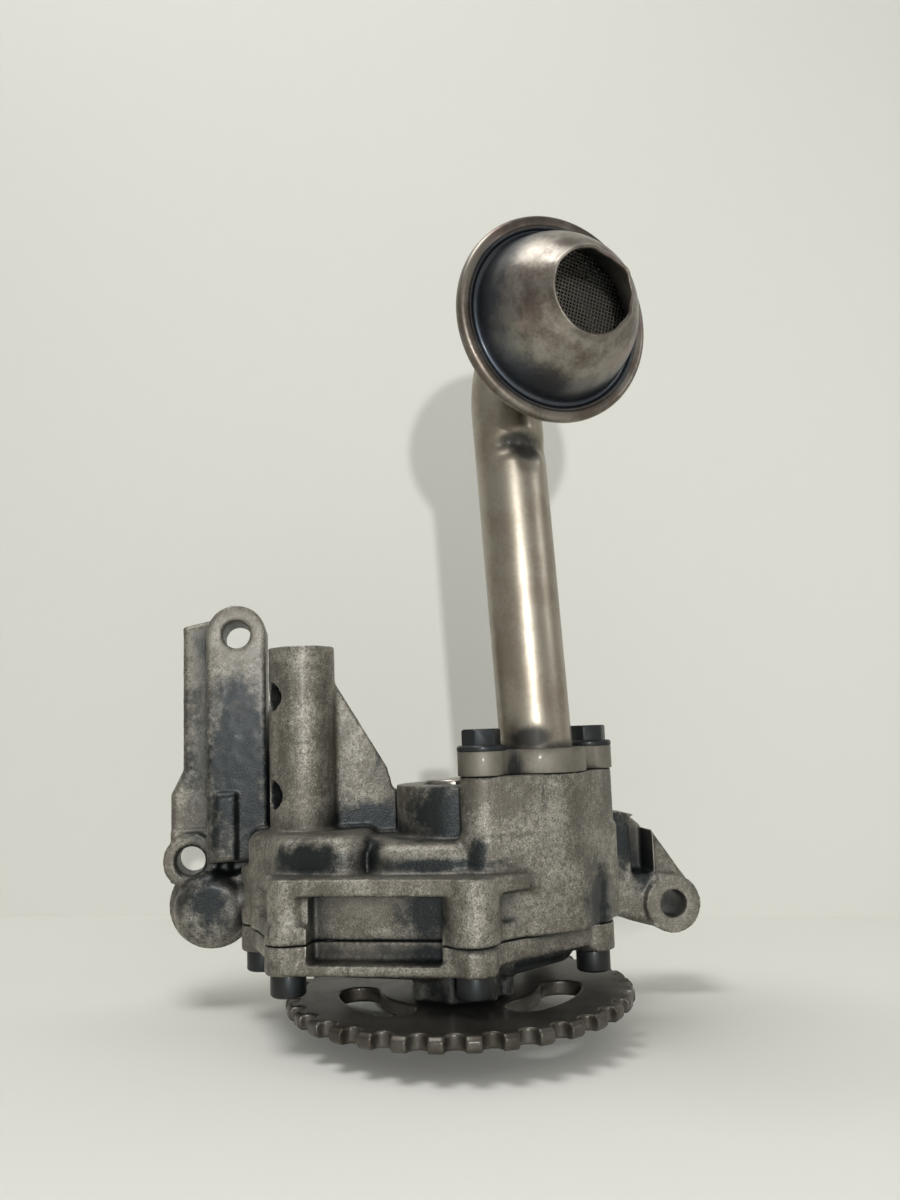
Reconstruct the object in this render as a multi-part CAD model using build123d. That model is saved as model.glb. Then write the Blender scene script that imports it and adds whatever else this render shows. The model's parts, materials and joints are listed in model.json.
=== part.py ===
from build123d import *
import os
from math import atan2, cos, pi, radians, sin

# Engine oil pump with its suction pipe and strainer, bolted to the side of an engine block.
# Millimetres. +Z runs up the drive shaft, +Y points at the engine block, +X is to the right.
# The origin is the middle of the drive sprocket, on the drive shaft's axis.

# Chain drive
chain_pitch = 9.525
chain_bush_diameter = 5.08
sprocket_teeth = 33
sprocket_thickness = 4.3
sprocket_tip_radius = 51.5
sprocket_hub_radius = 11.0
sprocket_hub_height = 4.0
kidney_radius = 30.0
kidney_width = 12.0
kidney_half_span = 22.0
kidney_first_angle = -39.0
kidney_count = 3
tooth_bevel = 1.1
tooth_mouth_share = 1.15
tooth_first_gap_angle = -2.5

# Drive shaft, nut and washer
shaft_radius = 7.0
shaft_seat_radius = 6.0
shaft_seat_flats = 10.0
shaft_thread_radius = 5.0
nut_across_flats = 17.0
nut_height = 6.0
washer_radius = 11.0
washer_thickness = 1.5
shaft_end_gap = 2.0
edge_bevel = 0.5

# Rotor set
inner_lobes = 6
eccentricity = 2.2
lobe_circle_radius = 22.3
lobe_radius = 5.5
lobe_gap = 0.1
outer_rotor_wall = 3.5
rotor_height = 15.0
rotor_side_gap = 0.05
rotor_end_gap = 0.05
key_width = 4.0
key_height = 4.0
key_length = 12.0
fit_gap = 0.04
port_radius = 17.8
port_width = 5.4
port_half_span = 52.0
port_depth = 5.0

# Bearing bushes
bush_wall = 2.0
upper_bush_length = 16.0
lower_bush_length = 11.0
running_gap = 0.03

# Heights of the castings
split_z = 20.5
flange_band_height = 5.0
ledge_height = 4.8
ledge_round = 1.0
ledge_setback = 3.4
deck_z = 38.5
shoulder_z = 46.8
upper_deck_z = 48.0
left_deck_points = [(-46.0, -3.0), (-54.0, 14.0), (-34.5, -9.0), (-30.0, 16.0)]
rear_deck_points = [(-22.0, -8.0), (0.0, -13.0), (16.0, 18.0), (-28.0, 18.0)]
deck_corner = 8.5
deck_round = 4.0
shoulder_points = [(-18.5, -14.5), (-3.0, -19.5), (24.0, -17.5), (38.0, -6.0), (24.0, 24.0)]
shaft_boss_radius = 17.4
shaft_boss_z = 62.0
shaft_plug_radius = 8.4
shaft_plug_height = 2.6
cover_thickness = 8.0
cover_flange_thickness = 6.0
cover_lip_height = 3.0
cover_lip_inset = 1.2
bowl_points = [(-34.0, -8.0), (-10.0, -19.0), (10.0, -19.5), (27.0, -8.0), (24.0, 19.5), (-30.0, 14.0)]
bowl_corner = 6.0
bowl_depth = 3.5
bowl_round = 4.5
boss_plate_width = 9.2
boss_plate_height = 6.2
boss_plate_proud = 0.7
cover_nose_radius = 13.8
cover_nose_front = (-1.5, -11.0)
cover_nose_gap = 0.8
cover_skirt_gap = 1.0
nose_rib_points = [(-13.2, -17.0), (-6.0, -23.0), (4.6, -22.5), (10.2, -18.0)]
nose_rib_radius = 2.6
chamber_wall = 5.0
wall_inset = 4.0
band_inset = 2.0
recess_depth = 9.0
cast_round = 2.0

# Cover screws and dowels
screw_points = [(-50.5, -14.5), (-0.8, -32.0), (38.5, -10.5), (31.0, 29.0), (-58.5, 20.0)]
screw_boss_radius = 6.6
screw_post_radius = 5.8
front_column_radius = 7.8
screw_radius = 3.0
screw_depth = 14.0
screw_clearance = 0.3
screw_head_radius = 5.0
screw_head_height = 6.0
screw_socket_flats = 5.0
screw_socket_depth = 3.2
dowel_points = [(-38.5, -12.0), (34.5, 9.0)]
dowel_radius = 2.5
dowel_length = 10.0

# Suction branch
suction_lobes = [(5.0, -23.2), (42.6, -2.2)]
suction_centre = (23.6, -12.6)
suction_lobe_radius = 7.0
suction_centre_radius = 14.6
suction_neck_share = 0.86
suction_block_inset = 0.4
suction_step_z = 48.0
suction_face_z = 64.8
suction_flange_thickness = 7.0
suction_bore_radius = 9.2
suction_bore_floor = 37.0
flange_bolt_radius = 3.0
flange_bolt_length = 16.0
flange_bolt_flats = 10.0
flange_bolt_head_height = 6.2
flange_bolt_collar_radius = 7.1
flange_bolt_collar_height = 1.6
pipe_radius = 10.8
pipe_wall = 1.5
pipe_spigot = 6.0
pipe_bend_radius = 17.5
pipe_end_straight = 3.5
shell_collar = 2.5
seal_width = 2.2
seal_height = 2.6

# Strainer
strainer_centre = (25.7, -46.0, 191.6)
strainer_turn = 14.0
strainer_dip = 3.0
strainer_radius = 29.5
strainer_sheet = 1.0
shell_depth = 11.0
shell_shoulder_inset = 4.0
shell_waist_radius = 17.2
rim_width = 3.8
rim_round = 1.6
hood_shoulder_inset = 5.9
hood_ring_height = 0.9
hood_height = 24.0
mouth_radius = 12.2
screen_thickness = 0.8

# Relief valve
relief_point = (-45.4, 13.0)
relief_tube_radius = 10.4
relief_top_z = 105.5
relief_bore_radius = 6.5
relief_seat_z = 52.0
relief_feed_radius = 4.0
relief_hole_radius = 4.2
relief_hole_heights = [60.0, 90.0]
relief_hole_angle = 205.0
relief_foot_radius = 8.0
relief_foot_reach = 8.6
relief_foot_back = 10.0
relief_foot_proud = 0.6
web_thickness = 4.4
web_top_drop = 7.0
web_corner_drop = 11.5
web_knee = (26.3, 67.0)
web_toe = (28.0, 60.5)
web_heel = (34.0, 58.5)
web_sink = 4.0
piston_length = 19.0
piston_gap = 0.04
piston_wall = 1.8
piston_crown = 3.0
spring_length = 39.5
spring_wire_radius = 0.9
spring_coil_radius = 3.7
spring_turns = 10
cap_length = 8.0
cap_gap = 0.05
cap_groove_depth = 1.5
cap_groove_height = 2.4
clip_thickness = 1.2
clip_groove_depth = 1.2

# Mounting ears, each an M8 clearance hole along Y that ends on the block face
block_face_y = 50.0
ear_hole_radius = 4.5
upper_ear = (-66.5, 111.6)
upper_ear_radius = 9.7
upper_ear_front = 26.0
lower_ear = (-82.1, 38.4)
lower_ear_radius = 9.0
lower_ear_front = 36.0
right_ear = (78.2, 17.0)
right_ear_radius = 9.7
right_ear_front = 26.5
arm_rib_front = 26.0
arm_rib_width = 19.4
arm_plate_front = 40.0
arm_pad_height = 1.4
arm_slit_width = 1.0
arm_pad_width = 6.6
arm_pad_length = 21.0
arm_pad_rise = 11.0
arm_pad_shift = 3.6
arm_plate_reach = 18.6
arm_plate_rise = 4.4
arm_plate_bow = 29.4
arm_step_size = (20.0, 17.0)
arm_step_shift = 3.0
arm_web_thickness = 7.0
arm_web_drop = 26.0
arm_web_rise = 6.0
arm_spine_width = 6.0
arm_spine_drop = 36.0
arm_wall = 3.7
arm_front_wall = 6.0
ear_counterbore_radius = 5.4
ear_counterbore_depth = 1.2
bracket_front_inset = 1.5
bracket_back_y = 44.0
bracket_reach = 44.0
bracket_rise = 31.5
bracket_drop = 3.4
bracket_pocket_width = 7.6
bracket_pocket_height = 19.2
bracket_pocket_floor = 10.2
bracket_flank_radius = 4.0
bracket_rear_wall = 5.0
bracket_pocket_inset = 9.6
bracket_rear_pocket_width = 18.0
bracket_rear_pocket_inset = 26.5
bracket_shoulder = (17.4, 11.0, 6.2)
bracket_shoulder_drop = (1.5, 5.5)
bracket_slope_reach = (7.6, 5.6)
bracket_toe = (14.0, 19.4)
bracket_gusset_inset = 1.5
flank_points = [(36.0, 14.0), (36.0, 34.0), (48.0, 34.0), (48.0, 26.0)]

# Outlet to the block
outlet_point = (-75.5, 23.0)
outlet_radius = 7.0
outlet_elbow_radius = 12.0
outlet_elbow_front = 29.5
outlet_wall = 4.5
outlet_flange_radius = 14.6
outlet_flange_depth = 5.0
outlet_seal_width = 2.4
outlet_lip = 1.5
outlet_elbow_round = 5.0
outlet_neck_reach = (14.0, 3.0)
outlet_seal_height = 2.0
gallery_y = 38.5
gallery_start = (-12.0, 38.0)
gallery_radius = 8.6
gallery_bore_radius = 4.5
gallery_root_size = (24.0, 17.5)
gallery_root_place = (-16.0, 35.2)
gallery_root_front = 20.0
gallery_inlet_y = 10.0

# Heights and places that follow from the sizes above
sprocket_top = sprocket_thickness / 2
washer_top = -sprocket_thickness / 2
nut_top = washer_top - washer_thickness
shaft_bottom = nut_top - nut_height - edge_bevel
hub_top = sprocket_top + sprocket_hub_height
nose_z = hub_top + cover_nose_gap
skirt_z = sprocket_top + cover_skirt_gap
cover_z = split_z - cover_thickness
bowl_z = cover_z - bowl_depth
chamber_roof = split_z + rotor_height + 2 * rotor_end_gap
outer_root_radius = lobe_circle_radius - lobe_radius + 2 * eccentricity + lobe_gap
outer_rotor_radius = outer_root_radius + outer_rotor_wall
chamber_centre = (0.0, eccentricity)
chamber_radius = outer_rotor_radius + rotor_side_gap
bush_radius = shaft_radius + running_gap + bush_wall
upper_bush_z = shaft_boss_z - shaft_plug_height - shaft_end_gap - upper_bush_length
shaft_top = upper_bush_z + upper_bush_length
strainer_plane = Plane(
    origin=strainer_centre,
    x_dir=(cos(radians(strainer_turn)), sin(radians(strainer_turn)), 0),
    z_dir=(
        sin(radians(strainer_turn)) * cos(radians(strainer_dip)),
        -cos(radians(strainer_turn)) * cos(radians(strainer_dip)),
        -sin(radians(strainer_dip)),
    ),
)
spring_base_z = relief_seat_z + piston_crown
cap_z = spring_base_z + spring_length
clip_z = cap_z + cap_length
shell_shoulder_radius = strainer_radius - shell_shoulder_inset
hood_shoulder_radius = strainer_radius - hood_shoulder_inset


def column(outline, low, high):
    """Raise a sketch of the XY plane from one height to another."""
    return Pos(0, 0, low) * extrude(outline, high - low, dir=(0, 0, 1))


def slab(outline, front, back):
    """Give a sketch drawn in X and Z its thickness along Y, from front to back."""
    return Pos(0, front, 0) * extrude(Plane.XZ * outline, back - front, dir=(0, 1, 0))


def round_bar(point, radius, low, high):
    """A vertical cylinder between two heights."""
    return column(Pos(*point) * Circle(radius), low, high)


def cross_bar(point, radius, front, back):
    """A cylinder along Y between two depths, its point given in X and Z."""
    return slab(Pos(*point) * Circle(radius), front, back)


def link(start, end, radius):
    """A cylinder from one point to another."""
    axis = Vector(*end) - Vector(*start)
    return extrude(Plane(origin=start, z_dir=axis) * Circle(radius), axis.length)


def hull(points, radius):
    """The outline that a band would take round equal circles."""
    circles = Sketch() + [Pos(*point) * Circle(radius) for point in points]
    return make_hull(circles.edges())


def ring(outer, inner):
    """A flat ring."""
    return Circle(outer) - Circle(inner)


def arc_slot(radius, width, middle, half_span):
    """A kidney-shaped slot that follows a circle round the origin."""
    path = CenterArc((0, 0), radius, middle - half_span, 2 * half_span)
    return SlotArc(path, width)


def soften(solid, radius, axis, at_end):
    """Round the outline edges of a solid's last face along an axis."""
    face = solid.faces().sort_by(axis)[-1 if at_end else 0]
    return fillet(face.edges(), radius)


# Chain sprocket
def tooth_gap():
    """One gap between teeth: the chain bush's seat and its flanks, on the +X side."""
    pitch_radius = chain_pitch / 2 / sin(pi / sprocket_teeth)
    seat_radius = 0.51 * chain_bush_diameter
    mouth = tooth_mouth_share * seat_radius
    reach = sprocket_tip_radius + 1
    flank = Polygon(
        (pitch_radius, -seat_radius),
        (reach, -mouth),
        (reach, mouth),
        (pitch_radius, seat_radius),
        align=None,
    )
    return Pos(pitch_radius, 0) * Circle(seat_radius) + flank


def make_drive_sprocket():
    gaps = Sketch() + [
        Rot(0, 0, tooth_first_gap_angle + index * 360 / sprocket_teeth) * tooth_gap()
        for index in range(sprocket_teeth)
    ]
    kidneys = Sketch() + [
        arc_slot(kidney_radius, kidney_width, kidney_first_angle + 360 / kidney_count * index,
                 kidney_half_span)
        for index in range(kidney_count)
    ]
    blank = column(Circle(sprocket_tip_radius), -sprocket_thickness / 2, sprocket_top)
    blank = chamfer(blank.edges().filter_by(GeomType.CIRCLE), tooth_bevel)
    wheel = blank - column(gaps, -sprocket_thickness, sprocket_thickness)
    wheel -= column(kidneys, -sprocket_thickness, sprocket_thickness)
    wheel += column(Circle(sprocket_hub_radius), 0, hub_top)
    seat = Circle(shaft_seat_radius + fit_gap) & Rectangle(
        3 * shaft_seat_radius, shaft_seat_flats + 2 * fit_gap
    )
    wheel -= column(seat, -sprocket_thickness, hub_top + 1)
    return wheel


# Shaft and what is fixed to it
def make_drive_shaft():
    seat = Circle(shaft_seat_radius) & Rectangle(3 * shaft_seat_radius, shaft_seat_flats)
    journal = column(Circle(shaft_radius), hub_top, shaft_top)
    journal = chamfer(journal.faces().sort_by(Axis.Z)[-1].edges(), edge_bevel)
    thread = column(Circle(shaft_thread_radius), shaft_bottom, washer_top)
    thread = chamfer(thread.faces().sort_by(Axis.Z)[0].edges(), edge_bevel)
    shaft = journal + column(seat, washer_top, hub_top) + thread
    keyway = Box(key_width, key_height, key_length, align=(Align.CENTER, Align.MIN, Align.CENTER))
    return shaft - Pos(0, shaft_radius - key_height / 2, rotor_middle()) * keyway


def rotor_middle():
    """Height of the middle of the rotor set."""
    return split_z + rotor_end_gap + rotor_height / 2


def make_rotor_key():
    key = Box(
        key_width - fit_gap, key_height, key_length - 2 * fit_gap,
        align=(Align.CENTER, Align.MIN, Align.CENTER),
    )
    return Pos(0, shaft_radius - key_height / 2, rotor_middle()) * key


def make_sprocket_washer():
    return column(ring(washer_radius, shaft_thread_radius + 0.3), nut_top, washer_top)


def make_sprocket_nut():
    hexagon = RegularPolygon(nut_across_flats / 2, 6, major_radius=False)
    blank = column(hexagon, nut_top - nut_height, nut_top)
    corner_cone = Pos(0, 0, nut_top - nut_height / 2) * Cylinder(
        0.53 * nut_across_flats * 1.06, nut_height
    )
    corner_cone = chamfer(corner_cone.edges().filter_by(GeomType.CIRCLE), 2 * edge_bevel)
    return (blank & corner_cone) - column(
        Circle(shaft_thread_radius + fit_gap), nut_top - 2 * nut_height, nut_top
    )


# Rotor set: the inner rotor's outline is the curve that rolling outer lobes leave
def inner_outline():
    lobes = inner_lobes + 1
    cutter = lobe_radius + lobe_gap
    points = []
    steps = 16 * inner_lobes
    for step in range(steps):
        turn = 2 * pi * step / steps
        slope = atan2(
            -sin(inner_lobes * turn),
            lobe_circle_radius / (eccentricity * lobes) - cos(inner_lobes * turn),
        )
        points.append((
            lobe_circle_radius * cos(turn) - cutter * cos(turn + slope)
            - eccentricity * cos(lobes * turn),
            lobe_circle_radius * sin(turn) - cutter * sin(turn + slope)
            - eccentricity * sin(lobes * turn),
        ))
    return make_face(Spline(*points, periodic=True))


def make_inner_rotor():
    bottom = split_z + rotor_end_gap
    top = bottom + rotor_height
    rotor = column(Rot(0, 0, -90) * inner_outline(), bottom, top)
    rotor -= column(Circle(shaft_radius + fit_gap), bottom - 1, top + 1)
    keyway = Rectangle(key_width + fit_gap, shaft_radius + key_height / 2 + fit_gap,
                       align=(Align.CENTER, Align.MIN))
    return rotor - column(keyway, bottom - 1, top + 1)


def make_outer_rotor():
    lobes = inner_lobes + 1
    bottom = split_z + rotor_end_gap
    discs = Sketch() + [
        Rot(0, 0, -90 + index * 360 / lobes) * Pos(lobe_circle_radius, 0) * Circle(lobe_radius)
        for index in range(lobes)
    ]
    outline = ring(outer_rotor_radius, outer_root_radius)
    outline += discs & Circle(outer_rotor_radius)
    return Pos(*chamber_centre, 0) * column(outline, bottom, bottom + rotor_height)


# Screws, dowels, bushes and plug
def make_cover_screws():
    head = column(Circle(screw_head_radius), cover_z - screw_head_height, cover_z)
    head = chamfer(head.faces().sort_by(Axis.Z)[0].edges(), edge_bevel)
    socket = RegularPolygon(screw_socket_flats / 2, 6, major_radius=False)
    head -= column(socket, cover_z - screw_head_height - 1,
                   cover_z - screw_head_height + screw_socket_depth)
    screw = head + column(Circle(screw_radius), cover_z, split_z + screw_depth)
    return Compound(children=[Pos(*point, 0) * screw for point in screw_points])


def make_cover_dowels():
    dowel = Cylinder(dowel_radius, dowel_length)
    dowel = chamfer(dowel.edges().filter_by(GeomType.CIRCLE), edge_bevel)
    return Compound(children=[Pos(*point, split_z) * dowel for point in dowel_points])


def make_bush(low, length):
    return column(ring(bush_radius, shaft_radius + running_gap), low, low + length)


def make_shaft_plug():
    plug = column(Circle(shaft_plug_radius), shaft_boss_z - shaft_plug_height, shaft_boss_z + 1.3)
    return chamfer(plug.faces().sort_by(Axis.Z)[-1].edges(), edge_bevel)


# Suction flange, pipe and bolts
def suction_outline():
    """Two-bolt flange: a round middle and a lobe at each bolt, joined by narrow necks."""
    lobes = hull(suction_lobes, suction_neck_share * suction_lobe_radius)
    lobes += [Pos(*point) * Circle(suction_lobe_radius) for point in suction_lobes]
    return lobes + Pos(*suction_centre) * Circle(suction_centre_radius)


def make_suction_flange():
    top = suction_face_z + suction_flange_thickness
    flange = column(suction_outline(), suction_face_z, top)
    flange -= round_bar(suction_centre, pipe_radius + fit_gap, suction_face_z - 1, top + 1)
    for point in suction_lobes:
        flange -= round_bar(point, flange_bolt_radius + screw_clearance,
                            suction_face_z - 1, top + 1)
    return flange


def make_flange_bolts():
    seat = suction_face_z + suction_flange_thickness
    collar = column(Circle(flange_bolt_collar_radius), seat, seat + flange_bolt_collar_height)
    collar = chamfer(collar.faces().sort_by(Axis.Z)[-1].edges(), edge_bevel)
    hexagon = RegularPolygon(flange_bolt_flats / 2, 6, major_radius=False)
    head_top = seat + flange_bolt_head_height
    head = column(hexagon, seat, head_top)
    dome = column(Circle(0.565 * flange_bolt_flats), seat, head_top)
    dome = chamfer(dome.faces().sort_by(Axis.Z)[-1].edges(), edge_bevel)
    bolt = collar + (head & dome)
    bolt += column(Circle(flange_bolt_radius), seat - flange_bolt_length, seat)
    return Compound(children=[Pos(*point, 0) * bolt for point in suction_lobes])


def pipe_path():
    """Up from the flange, then one tight bend forward into the back of the strainer."""
    start = Vector(*suction_centre, suction_face_z - pipe_spigot)
    end = (strainer_plane * Pos(0, 0, -shell_depth - strainer_sheet)).position
    corner = end - strainer_plane.z_dir * (pipe_bend_radius + pipe_end_straight)
    straight = Vector(*suction_centre, suction_face_z + suction_flange_thickness)
    lean = (corner - straight).normalized()
    return start, straight, lean, corner, end


def pipe_body(radius):
    start, straight, lean, corner, end = pipe_path()
    path = FilletPolyline(straight, corner, end, radius=pipe_bend_radius)
    upper = sweep(Plane(origin=straight, z_dir=lean) * Circle(radius), path=path)
    spigot = round_bar(suction_centre, radius, start.Z, straight.Z)
    knuckle = Pos(*straight) * Sphere(radius)
    return upper + spigot + knuckle


def make_suction_pipe():
    return pipe_body(pipe_radius) - pipe_body(pipe_radius - pipe_wall)


def make_suction_seal():
    seal = ring(pipe_radius + fit_gap + seal_width, pipe_radius + fit_gap)
    return column(Pos(*suction_centre) * seal, suction_face_z - seal_height, suction_face_z)


# Strainer, drawn round the Z axis and then set in its place
def make_strainer_shell():
    wall = strainer_sheet
    dish = Polyline(
        (pipe_radius + fit_gap, -shell_depth - shell_collar),
        (pipe_radius + 1.4 * wall, -shell_depth - shell_collar),
        (pipe_radius + 1.4 * wall, -shell_depth),
        (shell_waist_radius, -shell_depth + wall),
        (shell_shoulder_radius, -3.2 * wall),
        (strainer_radius - rim_width / 2, -wall),
        (strainer_radius - rim_width / 2, 0),
        (shell_shoulder_radius, 0),
        (shell_shoulder_radius - 1.2 * wall, -2.4 * wall),
        (shell_waist_radius, -shell_depth + 2 * wall),
        (pipe_radius + fit_gap, -shell_depth + wall),
        close=True,
    )
    rim_height = 3 * wall + screen_thickness
    rim = RectangleRounded(rim_width, rim_height, rim_round)
    section = make_face(dish) + Pos(strainer_radius - rim_width / 2, rim_height / 2 - wall) * rim
    section -= Pos(strainer_radius - wall, 0) * Rectangle(
        rim_width, screen_thickness + wall, align=(Align.MAX, Align.MIN)
    )
    return strainer_plane * revolve(Plane.XZ * section, Axis.Z)


def hood_form(inset, low, high):
    """The hood's bell as a solid, drawn in by the sheet's thickness for its inside."""
    side = Spline(
        (hood_shoulder_radius - inset, low),
        (hood_shoulder_radius - 1.4 - inset, 0.36 * hood_height),
        (0.5 * (hood_shoulder_radius + mouth_radius) - inset, 0.8 * hood_height),
        (mouth_radius - inset, high),
    )
    profile = make_face([side, Polyline((mouth_radius - inset, high), (0, high), (0, low),
                                        (hood_shoulder_radius - inset, low))])
    return revolve(Plane.XZ * profile, Axis.Z)


def make_strainer_hood():
    flange_radius = strainer_radius - strainer_sheet - fit_gap
    base = screen_thickness
    flange = column(Circle(flange_radius), base, base + strainer_sheet)
    ring_radius = (hood_shoulder_radius + strainer_radius - rim_width) / 2
    hood = flange + Pos(0, 0, base + strainer_sheet) * Torus(ring_radius, hood_ring_height)
    hood += hood_form(0, base, hood_height)
    hood -= hood_form(strainer_sheet, base - 0.01, hood_height + 0.01)
    hood -= column(Circle(strainer_radius), base - strainer_radius, base)
    return strainer_plane * hood


def make_strainer_screen():
    screen_edge = shell_shoulder_radius + 1.6
    disc = column(Circle(screen_edge), 0, screen_thickness)
    return strainer_plane * disc


# Relief valve, from its seat up to the clip
def make_relief_piston():
    radius = relief_bore_radius - piston_gap
    body = round_bar(relief_point, radius, relief_seat_z, relief_seat_z + piston_length)
    body = chamfer(body.edges().filter_by(GeomType.CIRCLE), edge_bevel)
    return body - round_bar(relief_point, radius - piston_wall, spring_base_z,
                            relief_seat_z + piston_length + 1)


def make_relief_spring():
    rise = spring_length - 2 * spring_wire_radius
    path = Helix(pitch=rise / spring_turns, height=rise, radius=spring_coil_radius)
    wire = Plane(origin=path @ 0, z_dir=path % 0) * Circle(spring_wire_radius)
    coil = sweep(wire, path=path)
    end_ring = revolve(
        Plane.XZ * Pos(spring_coil_radius, 0) * Circle(spring_wire_radius), Axis.Z
    )
    spring = coil + end_ring + Pos(0, 0, rise) * end_ring
    return Pos(*relief_point, spring_base_z + spring_wire_radius) * spring


def make_relief_cap():
    radius = relief_bore_radius - cap_gap
    cap = round_bar(relief_point, radius, cap_z, clip_z)
    groove = ring(radius + 1, radius - cap_groove_depth)
    cap -= column(Pos(*relief_point) * groove, cap_seal_z(), cap_seal_z() + cap_groove_height)
    return cap - round_bar(relief_point, radius / 2, cap_z + cap_length / 2, clip_z + 1)


def cap_seal_z():
    """Height of the groove for the cap's seal."""
    return cap_z + (cap_length - cap_groove_height) / 2


def make_relief_cap_seal():
    inner = relief_bore_radius - cap_gap - cap_groove_depth
    seal = ring(relief_bore_radius, inner)
    return column(Pos(*relief_point) * seal, cap_seal_z(), cap_seal_z() + cap_groove_height)


def make_relief_clip():
    outer = relief_bore_radius + clip_groove_depth
    clip = ring(outer, outer - 2.4) - Pos(0, outer) * Rectangle(5, 8)
    for side in (-1, 1):
        clip += Pos(side * 3.9, outer - 3.4) * Circle(1.7)
        clip -= Pos(side * 3.9, outer - 3.4) * Circle(0.7)
    clip &= Circle(outer)
    return column(Pos(*relief_point) * clip, clip_z, clip_z + clip_thickness)


# Cover below the rotor set
def body_outline(inset, boss_radius):
    """Plan of the castings: a wall drawn in from the five screw bosses, and the bosses."""
    outline = hull(screw_points, screw_boss_radius - inset)
    outline += Pos(*chamber_centre) * Circle(chamber_radius + chamber_wall)
    return outline + [Pos(*point) * Circle(boss_radius) for point in screw_points]


def front_recess(low, high):
    """The hollow between the left and front screw bosses, behind which the chamber bulges."""
    left = Vector(*screw_points[0])
    front = Vector(*screw_points[1])
    span = front - left
    lean = atan2(span.Y, span.X) * 180 / pi
    length = span.length - 2 * screw_boss_radius - 1.5
    middle = (left + front) * 0.5
    pocket = Pos(middle.X, middle.Y) * Rot(0, 0, lean) * Pos(-0.5, -screw_boss_radius) * Rectangle(
        length, 2 * recess_depth
    )
    pocket -= Pos(*chamber_centre) * Circle(chamber_radius + chamber_wall)
    return column(pocket, low, high)


def cover_nose():
    """The ribbed nose that carries the lower bush and hides the sprocket's hub."""
    outline = hull([(0, 0), cover_nose_front], cover_nose_radius)
    outline += [Pos(*point) * Circle(nose_rib_radius) for point in nose_rib_points]
    nose = column(outline, skirt_z, split_z)
    return nose - column(Circle(sprocket_hub_radius + cover_skirt_gap), skirt_z - 1, nose_z)


def make_pump_cover():
    flange = body_outline(band_inset, screw_boss_radius)
    cover = column(flange, split_z - cover_flange_thickness, split_z)
    for point in screw_points:
        cover += round_bar(point, screw_boss_radius, cover_z, split_z)
    lip = hull(screw_points[:2], screw_boss_radius - cover_lip_inset)
    cover += column(lip, cover_z, cover_z + cover_lip_height)
    cover -= front_recess(cover_z + cover_lip_height, split_z + 1)
    cover += soften(column(hull(bowl_points, bowl_corner), bowl_z, split_z),
                    bowl_round, Axis.Z, False)
    cover += cover_nose() + front_boss_plate()
    cover -= column(Circle(bush_radius), nose_z - 1, nose_z + lower_bush_length)
    cover -= column(Circle(shaft_radius + 0.5), nose_z - 1, split_z + 1)
    cover -= port_pockets(split_z - port_depth / 2, split_z + 1)
    return drill_for_fasteners(cover)


def front_boss_plate():
    """The small raised pad on the front boss of the cover."""
    x, y = screw_points[1]
    front = y - screw_boss_radius - boss_plate_proud
    middle = Pos(x + 1.0, cover_z + boss_plate_height / 2 + 0.4)
    plate = slab(middle * Rectangle(boss_plate_width, boss_plate_height), front, y)
    return plate & round_bar((x, y), screw_boss_radius + boss_plate_proud, cover_z, split_z)


def port_pockets(low, high):
    """The two kidney ports, suction on the right and delivery on the left."""
    ports = arc_slot(port_radius, port_width, 0, port_half_span)
    ports += arc_slot(port_radius, port_width, 180, port_half_span)
    return column(ports, low, high)


def drill_for_fasteners(casting):
    for point in screw_points:
        casting -= round_bar(point, screw_radius + screw_clearance, cover_z - 1, split_z)
        casting -= round_bar(point, screw_radius + fit_gap, split_z, split_z + screw_depth + 1)
    for point in dowel_points:
        casting -= round_bar(point, dowel_radius + fit_gap / 2, split_z - dowel_length / 2 - 0.2,
                             split_z + dowel_length / 2 + 0.2)
    return casting


# Main casting
def rotor_block():
    """The lower block round the rotor chamber, with its flange band and the ledge above."""
    wall = column(body_outline(wall_inset, screw_post_radius), split_z, deck_z)
    band = column(body_outline(band_inset, screw_boss_radius), split_z,
                  split_z + flange_band_height)
    ledge_points = [(x + ledge_setback, y) for x, y in screw_points[:1]] + screw_points[1:]
    ledge = soften(
        column(hull(ledge_points, screw_boss_radius), deck_z - ledge_height, deck_z),
        ledge_round, Axis.Z, True,
    )
    block = wall + band + ledge
    block -= front_recess(split_z - 1, deck_z - ledge_height)
    return block + round_bar(screw_points[1], front_column_radius, split_z, deck_z)


def upper_deck():
    """The stepped galleries on top of the rotor block, with rounded cast shoulders."""
    shapes = [
        column(hull(left_deck_points, deck_corner), deck_z, upper_deck_z + 1),
        column(hull(rear_deck_points, deck_corner), deck_z, upper_deck_z - 1),
        column(hull(shoulder_points, deck_corner), deck_z, shoulder_z),
    ]
    deck = Part()
    for shape in shapes:
        deck += soften(shape, deck_round, Axis.Z, True)
    return deck


def suction_block():
    """The tall block under the suction flange, a little fuller below its step."""
    upper = column(suction_hull(-suction_block_inset), split_z, suction_face_z)
    return upper + column(suction_hull(suction_block_inset), split_z, suction_step_z)


def suction_hull(growth):
    """The smooth outline round the suction bore and the flange's two bolts."""
    circles = Pos(*suction_centre) * Circle(suction_centre_radius + growth)
    circles += [Pos(*point) * Circle(suction_lobe_radius + growth) for point in suction_lobes]
    return make_hull(circles.edges())


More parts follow.
